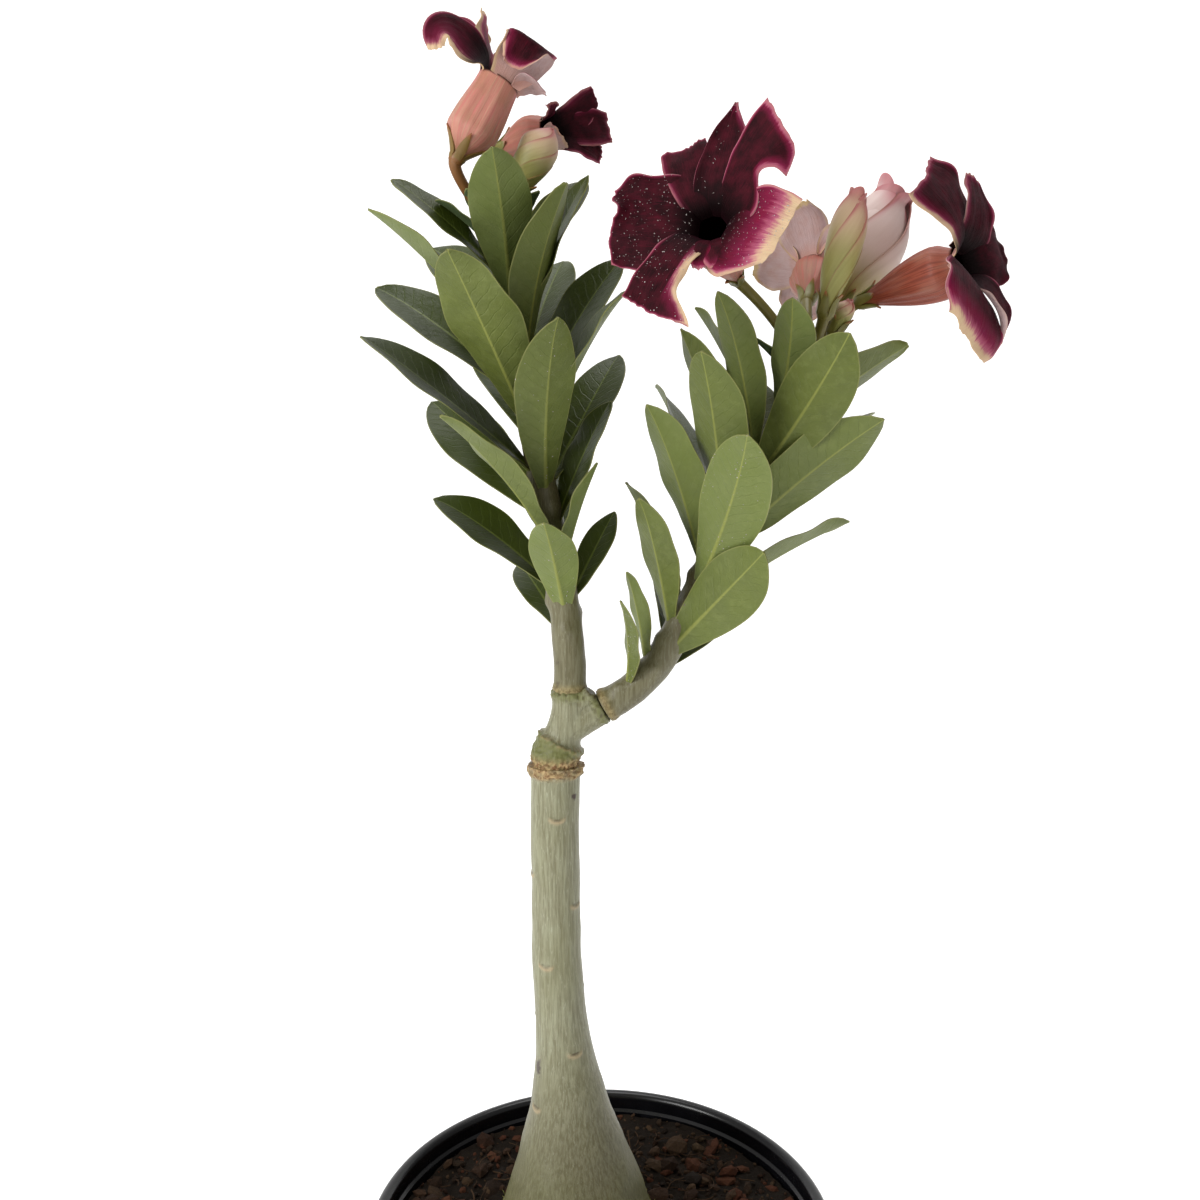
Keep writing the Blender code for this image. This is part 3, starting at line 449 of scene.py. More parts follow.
def lathe_grid(profile, sides):
    a = 2 * np.pi * np.arange(sides) / sides
    r, z = np.array(profile, float).T[..., None]
    return stacked(r * np.cos(a), r * np.sin(a), z)


# ---------------------------------------------------------------- materials
def srgb(r, g, b):
    """A colour given in steps of 0 to 255, as linear values."""
    shares = [c / 255 for c in (r, g, b)]
    return (*(c / 12.92 if c <= 0.04045 else ((c + 0.055) / 1.055) ** 2.4 for c in shares), 1)


class Value:
    """A node's output, with plain arithmetic on it."""

    def __init__(self, look, socket):
        self.look, self.socket = look, socket

    def __add__(self, other):
        return self.look.math("ADD", self, other)

    def __sub__(self, other):
        return self.look.math("SUBTRACT", self, other)

    def __rsub__(self, other):
        return self.look.math("SUBTRACT", other, self)

    def __mul__(self, other):
        return self.look.math("MULTIPLY", self, other)

    def __truediv__(self, other):
        return self.look.math("DIVIDE", self, other)

    def __abs__(self):
        return self.look.math("ABSOLUTE", self)

    def step(self, low, high, out_low=0.0, out_high=1.0):
        """A smooth step from out_low at low to out_high at high."""
        sockets = {"Value": self, "From Min": low, "From Max": high, "To Min": out_low, "To Max": out_high}
        return self.look.node("MapRange", sockets, interpolation_type="SMOOTHSTEP")


class Look:
    """A material and short ways to add nodes to it."""

    def __init__(self, name, roughness=0.5, **sockets):
        self.material = bpy.data.materials.new(name)
        self.material.use_nodes = True
        self.tree = self.material.node_tree
        self.shader = self.tree.nodes["Principled BSDF"]
        self.set("Roughness", roughness)
        for socket, value in sockets.items():
            self.set(socket.replace("_", " "), value)

    def set(self, socket, value):
        self.put(self.shader.inputs[socket], value)

    def put(self, socket, value):
        if isinstance(value, Value):
            self.tree.links.new(value.socket, socket)
        else:
            socket.default_value = value

    def node(self, kind, sockets, output=0, **settings):
        made = self.tree.nodes.new("ShaderNode" + kind)
        for key, value in settings.items():
            setattr(made, key, value)
        for key, value in sockets.items():
            self.put(made.inputs[key], value)
        return Value(self, made.outputs[output])

    def math(self, operation, a, b=0.0, clamp=False):
        return self.node("Math", {0: a, 1: b}, operation=operation, use_clamp=clamp)

    def mix(self, share, a, b):
        """From colour a to colour b; a plain colour is three numbers of 0 to 255."""
        a, b = (srgb(*c) if isinstance(c, tuple) else c for c in (a, b))
        return self.node("Mix", {0: share, 6: a, 7: b}, 2, data_type="RGBA")

    def layers(self, colour, *over):
        """A colour with others laid over it in turn, each by its own share."""
        for share, top in over:
            colour = self.mix(share, colour, top)
        return colour

    def vector(self, x, y, z):
        return self.node("CombineXYZ", {0: x, 1: y, 2: z})

    def attribute(self, name):
        """The three numbers of a vertex mark."""
        found = self.node("Attribute", {}, "Vector", attribute_name=name)
        return [self.node("SeparateXYZ", {0: found}, k) for k in range(3)]

    def place(self):
        return self.node("TexCoord", {}, "Object")

    def squeezed(self, height):
        """The place, with its height scaled, so that a noise runs lengthwise or in rings."""
        return self.node("Mapping", {"Vector": self.place(), "Scale": (1, 1, height)})

    def noise(self, vector, scale, detail=3, rough=0.55):
        return self.node("TexNoise", {"Vector": vector, "Scale": scale, "Detail": detail, "Roughness": rough})

    def finish(self, colour, height=None, strength=0.4, distance=0.0006):
        """Connect the colour and, where a height is given, the bump; returns the material."""
        self.set("Base Color", colour)
        if height is not None:
            sockets = {"Strength": strength, "Distance": distance, "Height": height}
            self.set("Normal", self.node("Bump", sockets))
        return self.material


def leaf_look():
    """Dark above and sage beneath, with pale ribs and faint veins; the small young leaves are glaucous."""
    look = Look("leaf_blade", Specular_IOR_Level=0.32)
    x, y, side = look.attribute("blade")
    t, s, rim = look.attribute("place")
    tone, young, seed = look.attribute("tint")
    ax = abs(x)
    rib = (ax / ((1 - s) * 0.9 + 0.2)).step(1.1, 0.3)
    where = look.vector(x, y, seed * 97)
    blotch = look.noise(where, 0.07)
    mottle = look.noise(where, 0.32, 4, 0.65)
    fine = look.noise(where, 1.6)
    slope = y * 0.22 - ax * 0.19 + look.noise(where, 0.16, 2) * 1.1
    vein = abs(look.math("FRACT", slope) - 0.5).step(0.1, 0.0) * t.step(0.98, 0.6)
    upper = look.layers(
        look.mix(blotch, (30, 40, 2), (58, 70, 12)), (tone * 0.35, (90, 104, 38)),
        (mottle * 0.3, (52, 60, 14)), (vein * 0.1, (104, 122, 56)), (rib * 0.6, (114, 126, 58)))
    under = look.layers(
        look.mix(tone, (78, 86, 30), (128, 140, 84)),
        (blotch.step(0.3, 0.7), look.mix(tone, (92, 100, 40), (114, 128, 68))),
        (mottle.step(0.45, 0.7) * 0.22, (128, 136, 78)), (vein * 0.08, (88, 100, 44)),
        (rib * 0.75, (138, 142, 70)))
    colour = look.layers(
        look.mix(side, under, upper), (young * 0.8, look.mix(mottle, (66, 84, 56), (98, 116, 84))),
        (s.step(0.16, 0.0) * 0.55, (132, 138, 66)), (rim.step(0.5, 0.12) * 0.55, (140, 140, 82)))
    look.set("Roughness", fine * 0.16 - side * 0.1 + 0.42)
    return look.finish(colour, mottle * 0.9 - vein * 0.35 + fine * 0.3, 0.4, 0.0007)


def petal_look():
    """Near black at the throat, which is painted shade, then maroon, magenta and a pale margin; lilac
    beneath.
    """
    look = Look("petal_velvet", 0.62, Specular_IOR_Level=0.1, Sheen_Weight=0.05, Sheen_Roughness=0.45,
                Sheen_Tint=srgb(210, 90, 130))
    x, y, side = look.attribute("blade")
    t, s, rim = look.attribute("place")
    broad, magenta, seed = look.attribute("tint")
    ray = look.vector(t * 8, s * 1.6, seed * 57)
    streak, rays = look.noise(ray, 2.2, 4, 0.6), look.noise(ray, 5.5, 2)
    mottle = look.noise(look.vector(x, y, seed * 31), 0.24, 4)
    grain = look.noise(look.vector(x, y, seed), 3, 2)
    edge = rim + ((streak - 0.5) * 1.3 + (mottle - 0.5) * 0.8)
    cream = edge.step(1.0, 0.35)
    margin = look.mix(broad, look.mix(streak, (150, 84, 96), (176, 116, 112)),
                      look.mix(streak, (206, 164, 140), (218, 198, 154)))
    upper = look.layers(
        look.mix(mottle.step(0.3, 0.75), (34, 3, 9), (66, 10, 24)), (rays.step(0.5, 0.8) * 0.3, (98, 18, 42)),
        (streak.step(0.55, 0.8) * (magenta * 0.5), (118, 12, 42)),
        (edge.step(3.8, 1.0) * magenta, look.mix(mottle, (126, 6, 36), (128, 36, 80))),
        (edge.step(1.7, 0.6) * magenta, (182, 98, 122)), (cream * broad.step(0.0, 0.6, 0.55, 1.0), margin),
        # painted shade: the petal's foot goes near black where it lies in the shade of the throat
        ((s - streak * 0.2).step(0.36, 0.02), (12, 1, 2)))
    under = look.layers(
        look.mix(streak, (186, 150, 148), (208, 190, 190)), (mottle.step(0.4, 0.8) * 0.5, (186, 142, 124)),
        (s.step(0.4, 0.0) * 0.6, (196, 138, 116)), (cream * (broad * 0.85), (206, 180, 128)))
    return look.finish(look.mix(side, under, upper), streak + grain * 0.35, 0.4, 0.0009)


def tube_look():
    """The flower's tube: salmon with lengthwise stripes outside, near black inside as painted shade."""
    look = Look("petal_tube", 0.45)
    angle, s, side = look.attribute("blade")
    warm, seed, _ = look.attribute("tint")
    stripe = look.noise(look.vector(angle * 110, s * 1.8, seed), 1, 3, 0.6)
    soft = look.noise(look.vector(angle * 8, s * 2, seed), 1, 2).step(0.45, 0.8)
    pink = look.mix(stripe.step(0.3, 0.7), (196, 116, 108), (190, 140, 118))
    pink = look.mix(soft, pink, (168, 124, 94))
    rust = look.mix(stripe.step(0.4, 0.6), (146, 70, 50), (118, 52, 36))
    rust = look.mix(soft, rust, (150, 104, 86))
    outside = look.layers(look.mix(warm, pink, rust), (s.step(0.2, 0.0) * 0.7, (128, 92, 52)))
    # Inside the tube: no specular, and a near-black colour that is painted shade deep in the tube.
    look.set("Specular IOR Level", (1 - side) * 0.35)
    return look.finish(look.mix(side, outside, (13, 2, 3)), stripe, 0.4, 0.0007)


def bud_look():
    """Folded petals: tan and olive at the foot, pale in the middle, pink at the tips and margins."""
    look = Look("bud_folds")
    t, s, _ = look.attribute("blade")
    lilac, green, seed = look.attribute("tint")
    streak = look.noise(look.vector(t * 7, s * 1.6, seed), 1.6, 4, 0.6)
    tip = look.math("ADD", s.step(0.8, 1.0), t.step(0.12, 0.0) * s.step(0.5, 0.9), clamp=True)
    colour = look.layers(
        look.mix(streak, (196, 160, 130), (214, 190, 160)),
        (lilac, look.mix(streak, (206, 180, 176), (226, 206, 204))),
        (s.step(0.5, 0.12), look.mix(streak, (150, 132, 74), (176, 158, 100))),
        (green * s.step(0.9, 0.4), look.mix(streak, (128, 128, 58), (160, 158, 84))),
        (tip * 0.75, look.mix(streak, (206, 110, 120), (150, 50, 74))),
        (t.step(0.05, 0.0) * 0.5, (150, 100, 70)))
    return look.finish(colour, streak, 0.35, 0.0006)


def stalk_look():
    look = Look("stalk_green", 0.45)
    along, warm, _ = look.attribute("tint")
    spots = look.noise(look.squeezed(0.35), 260)
    colour = look.layers(
        look.mix(spots, (92, 94, 28), (122, 122, 56)), (warm * 0.8, (140, 84, 46)),
        (along.step(0.75, 1.0) * 0.7, (168, 96, 66)))
    return look.finish(colour, spots, 0.3, 0.0005)


def bark_look():
    """Living bark: grey green with fine lengthwise silvery streaks, tan scars and corky rings."""
    look = Look("bark_living", Specular_IOR_Level=0.5)
    scar, cork, green = look.attribute("blade")
    dark, upper, height = look.attribute("place")
    streaks = look.noise(look.squeezed(0.07), 1100, 4, 0.62)
    fine = look.noise(look.squeezed(0.12), 2400)
    patches = look.noise(look.squeezed(0.5), 60)
    lumps = look.noise(look.place(), 700, 4)
    stripes = streaks.step(0.34, 0.66)
    stem = look.layers(
        look.mix(stripes, (116, 112, 82), (150, 150, 122)), (fine.step(0.56, 0.72) * 0.4, (196, 198, 178)),
        (patches.step(0.4, 0.7) * 0.4, (124, 122, 84)))
    foot = look.layers(
        look.mix(stripes, (92, 86, 56), (116, 112, 84)), (fine.step(0.6, 0.72) * 0.3, (170, 172, 150)))
    young = look.layers(
        look.mix(patches.step(0.3, 0.7), (84, 76, 46), (112, 108, 74)),
        (fine.step(0.5, 0.7) * 0.35, (150, 150, 124)))
    colour = look.layers(
        stem, (height.step(235, 175), foot), (upper, young),
        (green, look.mix(streaks, (78, 80, 30), (120, 122, 66))),
        (cork, look.mix(lumps.step(0.35, 0.65), (112, 76, 42), (184, 158, 112))),
        (scar * 0.9, look.mix(fine, (160, 138, 104), (192, 174, 140))), (dark, (62, 44, 28)))
    look.set("Roughness", look.math("ADD", streaks * 0.25 + 0.3, cork * 0.3, clamp=True))
    return look.finish(colour, streaks + fine * 0.4, 0.4, 0.0006)


def pot_look():
    look = Look("pot_black", Specular_IOR_Level=0.45)
    dust = look.noise(look.place(), 26, 6, 0.7)
    scuff = look.noise(look.squeezed(6), 90, 4, 0.7)
    colour = look.layers(
        look.mix(dust.step(0.45, 0.8), (9, 9, 12), (20, 20, 24)),
        (scuff.step(0.62, 0.75) * 0.25, (74, 72, 70)))
    look.set("Roughness", dust * 0.22 + 0.14)
    return look.finish(colour, dust, 0.12, 0.0006)


def soil_look(name, spread):
    look = Look(name, 0.9, Specular_IOR_Level=0.15)
    tone, red, _ = look.attribute("tint")
    grain = look.noise(look.place(), 900, 5, 0.7)
    colour = look.layers(
        look.mix(grain, (8, 6, 4), (34, 25, 16)),
        (tone * spread, look.mix(grain, (40, 30, 20), (86, 68, 48))),
        (red * 0.7, look.mix(grain, (52, 26, 16), (94, 54, 36))))
    return look.finish(colour, grain + look.noise(look.place(), 160, 4), 0.7, 0.0012)


def moss_look():
    look = Look("moss_green", 0.8)
    return look.finish(look.mix(look.attribute("tint")[0], (70, 74, 34), (132, 130, 70)))


def dew_look():
    # painted highlight: the drops are opaque and pale grey, a colour that stands in for the light clear water
    # catches
    return Look("dew_drops", 0.1, Base_Color=srgb(176, 168, 164), Specular_IOR_Level=0.8).material


# ---------------------------------------------------------------- leaves and shoots
def trunk_x(height):
    lean = FOOT_X - TRUNK_LEAN * ease(height, LEAN_LOW, LEAN_HIGH)
    return lean + NECK_STEP * ease(height, GRAFT_HEIGHT, NECK_TOP - GRAFT_HALF)


def stock_stations():
    """(x, y, z, radius) of the stock, from the root's underside to just under the graft."""
    stations = []
    for height in np.linspace(ROOT_BOTTOM, STOCK_TOP, STOCK_RINGS):
        spread = BULB_BELOW if height < BULB_HEIGHT else BULB_ABOVE
        bell = math.exp(-(((height - BULB_HEIGHT) / spread) ** 2))
        stations.append((trunk_x(height), 0, height, STEM_R + (BULB_R - STEM_R) * bell))
    return stations


class Shoot:
    """A shoot's centre line, measured from its foot."""

    def __init__(self, stops):
        self.line = smooth_line(stops, 12)
        steps = np.linalg.norm(np.diff(self.line, axis=0), axis=1)
        self.along = np.concatenate([[0], np.cumsum(steps)])
        self.length = self.along[-1]
        self.tangents = frames(self.line)[0]

    def at(self, distance):
        point = np.array([np.interp(distance, self.along, self.line[:, k]) for k in range(3)])
        axis = unit([np.interp(distance, self.along, self.tangents[:, k]) for k in range(3)])
        return point, axis

    def radius(self, distance):
        return SHOOT_FOOT_R + (SHOOT_TIP_R - SHOOT_FOOT_R) * np.clip(distance / self.length, 0, 1) ** 1.4


def shoot_heading(spec, distance):
    """Direction of a shoot at a distance from its foot."""
    lean = spec["lean"] + (spec["first_lean"] - spec["lean"]) * math.exp(-((distance / spec["settle"]) ** 2))
    return bearing_vector(spec["bearing"], 90 - lean)


def shoot_stops(name):
    """Centre line of a shoot, from its foot on the trunk to its tip."""
    spec = SHOOTS[name]
    step = spec["length"] / SHOOT_STOPS
    if name == "left_shoot":
        seat = np.array([trunk_x(NECK_TOP), 0, NECK_TOP])
    else:
        seat = np.array([trunk_x(FORK_HEIGHT), 0, FORK_HEIGHT]) + ARM_LENGTH * shoot_heading(spec, 0)
    points = [seat + SEAT * shoot_heading(spec, 0)]
    for k in range(SHOOT_STOPS):
        points.append(points[-1] + step * shoot_heading(spec, (k + 0.5) * step))
    return points


def spiral_leaves(spec):
    """The part's own leaves, with fold, wave of the margin, curl of the tip and tone added for the looks."""
    rng, more = random.Random(SEED + spec["leaves"]), random.Random(SEED * 3 + spec["leaves"])
    first, last = spec["nodes"]
    inner, outer = spec["lifts"]
    rows = []
    for i in range(spec["leaves"]):
        share = i / (spec["leaves"] - 1)
        bearing = (spec["first_bearing"] + i * GOLDEN_ANGLE + 180) % 360 - 180
        outward = math.cos(math.radians(bearing - spec["bearing"]))
        behind = max(math.sin(math.radians(bearing)), 0)
        lift = inner + (outer - inner) * (1 + outward) / 2 - BACK_DROOP * behind + rng.uniform(-4, 4)
        away = (share - LEAF_FULL) / max(LEAF_FULL, 1 - LEAF_FULL)
        crowded = max(-outward, 0) * (1 - share)
        reach = LEAF_REACH * (1 - LEAF_LESS * away**2) * (1 - CROWDED_LESS * crowded)
        reach += rng.uniform(-4, 4)
        width = reach * (LEAF_SLENDER + rng.uniform(-0.04, 0.04))
        arch = rng.uniform(10, 22)
        node = first + (last - first) * share
        shape = (node, bearing, lift, reach, width, arch, -spec["roll"] * outward, rng.uniform(-10, 10))
        fold, wave = more.uniform(0.15, 0.3), more.uniform(0.4, 0.9)
        tip, tone = more.uniform(0, 12), more.uniform(0.15, 0.6)
        rows.append((*shape, fold, wave, tip, tone))
    return rows


def young_leaves(spec):
    """The part's own small leaves round a shoot's tip, all with one fold, wave, curl and tone."""
    rows = []
    for i in range(spec["young"]):
        share = i / spec["young"]
        bearing = (spec["young_bearing"] + i * GOLDEN_ANGLE + 180) % 360 - 180
        reach = YOUNG_REACH * (1 - 0.5 * share)
        node = spec["length"] - YOUNG_LENGTH * (1 - share)
        lift = YOUNG_LIFT + 10 * share
        rows.append((node, bearing, lift, reach, reach * YOUNG_SLENDER, YOUNG_ARCH, 0, 0, 0.25, 0.5, 10, 0.6))
    return rows


def sideways(direction, axis):
    """A direction with its share along the axis taken out."""
    return unit(direction - axis * np.dot(direction, axis))


def leaf(patch, shoot, row, index, young=0.0):
    """One leaf; returns the grids of its two faces and its normals."""
    node, bearing, lift, reach, width, arch, roll, sweep, fold, wave, tip, tone = row
    root, stem_axis = shoot.at(node)
    chord = bearing_vector(bearing, lift)
    outward = sideways(chord, stem_axis)
    upper = unit(stem_axis * np.dot(chord, outward) - outward * np.dot(chord, stem_axis))
    upper = turned(upper, chord, roll)
    side = np.cross(chord, upper)
    stations = np.linspace(0, 1, LEAF_ROWS) ** 0.92
    total, swing = math.radians(max(arch, 0.1)), math.radians(sweep)
    run = reach * (total / 2) / math.sin(total / 2)

    def heading(share):
        a = total * (0.5 - share) - math.radians(tip) * max(0, share - 0.7) ** 2 * 8
        b = swing * (0.5 - share)
        return (chord * math.cos(a) + upper * math.sin(a)) * math.cos(b) + side * math.sin(b)

    spine = [root]
    for low, high in zip(stations, stations[1:]):
        spine.append(spine[-1] + run * (high - low) * heading((low + high) / 2))
    s, t = stations[:, None], LEAF_ACROSS
    spine, lean = np.array(spine), upper * np.cos(total * (0.5 - s)) - chord * np.sin(total * (0.5 - s))
    sides = np.cross([heading(share) for share in stations], lean)
    shape = np.clip(np.sin(np.pi * np.minimum(s, 0.9999) ** LEAF_BROADEST), 0, 1)
    halves = np.maximum(width / 2 * shape**LEAF_ROUND, PETIOLE_HALF * (1 - 0.75 * s))
    across, ax = halves * t, np.abs(t)
    phase = random.Random(index * 31 + int(node)).uniform(0, 6)
    ripple = np.sin(2 * np.pi * 2.3 * s + phase + 1.3 * np.sign(t))
    ripple = ripple + 0.5 * np.sin(2 * np.pi * 4.1 * s + 2 * phase - np.sign(t))
    lifts = fold * halves * (np.sqrt(t**2 + 0.015) - 0.12)
    lifts = lifts + wave * ax**2.2 * ripple * ease(s, 0.05, 0.3) * (width / 26)
    middle = spine[:, None] + sides[:, None] * across[..., None] + lean[:, None] * lifts[..., None]
    thick = LEAF_THICK * (1 + 1.6 * ease(s, 0.12, 0.0)) * (0.4 + 0.6 * (1 - ax**3))
    rib = 0.75 * (1 - s) ** 0.8 * np.exp(-((across / (0.5 + 0.9 * (1 - s))) ** 2))
    rim = np.minimum((1 - ax) * halves, (1 - s) * run)
    tint = (tone, young, (index * 0.137) % 1)
    return blade(patch, middle, thick, stacked(across, run * s), stacked(ax, s, rim), tint, rib)


def stem_piece(name, shoot, rows, look, node):
    """The shoot's own stem, with cushions under its leaves, old scars and a cracked ring at its foot."""
    along = np.linspace(0, shoot.length, STEM_RINGS)
    grid, out = pipe_grid(np.array([shoot.at(d)[0] for d in along]), shoot.radius(along), STEM_SIDES)
    bulge, scar = np.zeros(grid.shape[:2]), np.zeros(grid.shape[:2])

    def gaps(distance, bearing, lift, radius):
        """How far each point lies from a spot on the stem."""
        centre, axis = shoot.at(distance)
        spot = centre + sideways(bearing_vector(bearing, lift), axis) * radius
        return np.linalg.norm(grid - spot, axis=-1)

    for root, bearing, lift, *_ in rows:
        bulge += 1.3 * np.exp(-((gaps(root - 1.0, bearing, lift, shoot.radius(root)) / 2.6) ** 2))
    rng = random.Random(len(rows))
    for _ in range(7):
        spot = gaps(rng.uniform(3, shoot.length * 0.4), rng.uniform(-180, 180), 0, shoot.radius(10))
        scar += np.exp(-((spot / 1.1) ** 4))
    bulge += 0.3 * layered(grid * [1, 1, 0.5], 5.0, 3, 3) - 0.25 * scar
    ring = np.exp(-((along - 1.5) / 1.6) ** 2)[:, None]
    bulge += ring * (0.5 + 0.5 * noise(grid, 1.4, 9))
    share = along[:, None] / shoot.length
    green = np.clip(ring * 0.8 + ease(share, 0.75, 1.0) * 0.5, 0, 1)
    patch = Patch()
    add_tube(patch, grid + out * bulge[..., None], blade=stacked(0, 0.5 * ring, green),
             place=stacked(np.clip(scar * 0.6, 0, 1), ease(share, 0.12, 0.4), share), tint=0.0)
    patch.piece(name, look, "bark", node, sharp=60)


# ---------------------------------------------------------------- stalks, blooms and buds
def flower_foot(name):
    """Foot of a flower, at the end of its stalk, and the direction of its axis."""
    spec = BLOOMS.get(name) or BUDS[name]
    length = spec["stretch"] * (BLOOM_STALK if name in BLOOMS else BUD_STALK)
    foot = shoot_stops(spec["shoot"])[-1] + length * bearing_vector(spec["side"], STALK_LIFT)
    return foot, bearing_vector(spec["bearing"], spec["lift"])


def tube_radius(spec, share):
    swell = math.sin(math.pi / 2 * min(share / spec["belly"], 1)) ** 1.3
    narrow = 1 - 0.1 * max(share - spec["belly"], 0) / (1.01 - spec["belly"])
    return (TUBE_FOOT_R + (spec["girth"] - TUBE_FOOT_R) * swell) * narrow


def bud_radius(spec, share):
    fat = spec["fat"]
    if share < fat:
        rise = (1 - math.cos(math.pi * (share / fat) ** 0.8)) / 2
        return BUD_FOOT_R + (spec["radius"] - BUD_FOOT_R) * rise
    return max(spec["radius"] * math.cos(math.pi / 2 * min(1, (share - fat) / (1 - fat)) ** 1.3), spec["tip"])


def flower_radius(name, height):
    if name in BLOOMS:
        return tube_radius(BLOOMS[name], height / BLOOMS[name]["tube"])
    return bud_radius(BUDS[name], height / BUDS[name]["length"]) * (1 + BUD_RIDGE)


def stalks_piece(name, shoot, look, node):
    """Stalks, cups and sepals of a shoot's flowers."""
    patch = Patch()
    flowers = [flower for flower, spec in {**BLOOMS, **BUDS}.items() if spec["shoot"] == node]
    for n, flower in enumerate(flowers):
        small = 0.85 if flower == "bud_small" else 1.0
        warm = 1.0 if flower == "bloom_left" else 0.2
        foot, axis = flower_foot(flower)
        basis = placed_basis(axis)
        start, rise = shoot.at(shoot.length - 4)
        reach = np.linalg.norm(foot - start)
        end = foot - axis * CUP_HEIGHT * 0.6
        u = np.linspace(0, 1, STALK_RINGS)[:, None]
        a, b = start + rise * reach * 0.4 * u, end - axis * reach * 0.35 * (1 - u)
        line = a * (1 - u) ** 2 * (1 + 2 * u) + b * u**2 * (3 - 2 * u)
        radii = STALK_R * small * (1 + 0.25 * np.abs(2 * u[:, 0] - 1) ** 3)
        add_tube(patch, pipe_grid(line, radii, STALK_SIDES)[0], tint=stacked(u * 0.6, warm, n))
        profile = ((STALK_R, -CUP_HEIGHT), (2.6, -2.2), (CUP_R, -1.0), (CUP_R, 0.2), (2.2, 0.3))
        cup = lathe_grid([(r * small, height) for r, height in profile], CUP_SIDES)
        add_tube(patch, cup @ basis.T + foot, tint=(0.6, warm, n))

        s, t = np.linspace(0, 1, SEPAL_ROWS)[:, None], np.linspace(-1, 1, SEPAL_COLS)
        heights = -1.6 + (SEPAL_LENGTH * small + 1.6) * s
        radii = np.array([[flower_radius(flower, max(h, 0))] for h in heights[:, 0]]) + 0.55
        radii[0] = CUP_R * small - 0.5
        halves = SEPAL_WIDTH * small / 2 * np.sin(np.pi * (0.25 + 0.74 * s)) ** 0.8
        radii = radii + 0.9 * ease(s, 0.75, 1.0) - 0.25 * halves * t**2
        unmarked = np.zeros((SEPAL_ROWS, SEPAL_COLS, 3))
        for k in range(5):
            outward, around = bearing_vector(72 * k + 36, 0), bearing_vector(72 * k + 126, 0)
            middle = outward * radii[..., None] + around * (halves * t)[..., None] + UP * heights[..., None]
            tint = np.tile(stacked(s + 0 * t, warm * 0.6, k).reshape(-1, 3), (2, 1))
            blade(patch, middle[:, ::-1] @ basis.T + foot, SEPAL_THICK, unmarked, unmarked, tint)
    patch.piece(name, look, "leaf", node, sharp=55)


def along_list(values, at):
    """Values at even steps from 0 to 1, read smoothly at other places."""
    values = np.atleast_1d(np.asarray(values, float))
    if len(values) == 1:
        return np.full(np.shape(at), values[0])
    place = np.asarray(at) * (len(values) - 1)
    k = np.clip(np.floor(place).astype(int), 0, len(values) - 2)
    u = place - k
    before, after = values[np.maximum(k - 1, 0)], values[np.minimum(k + 2, len(values) - 1)]
    a, b = values[k], values[k + 1]
    m, n = (b - before) / 2, (after - a) / 2
    start = a * (1 + 2 * u) * (1 - u) ** 2 + m * u * (1 - u) ** 2
    return start + b * u * u * (3 - 2 * u) + n * u * u * (u - 1)


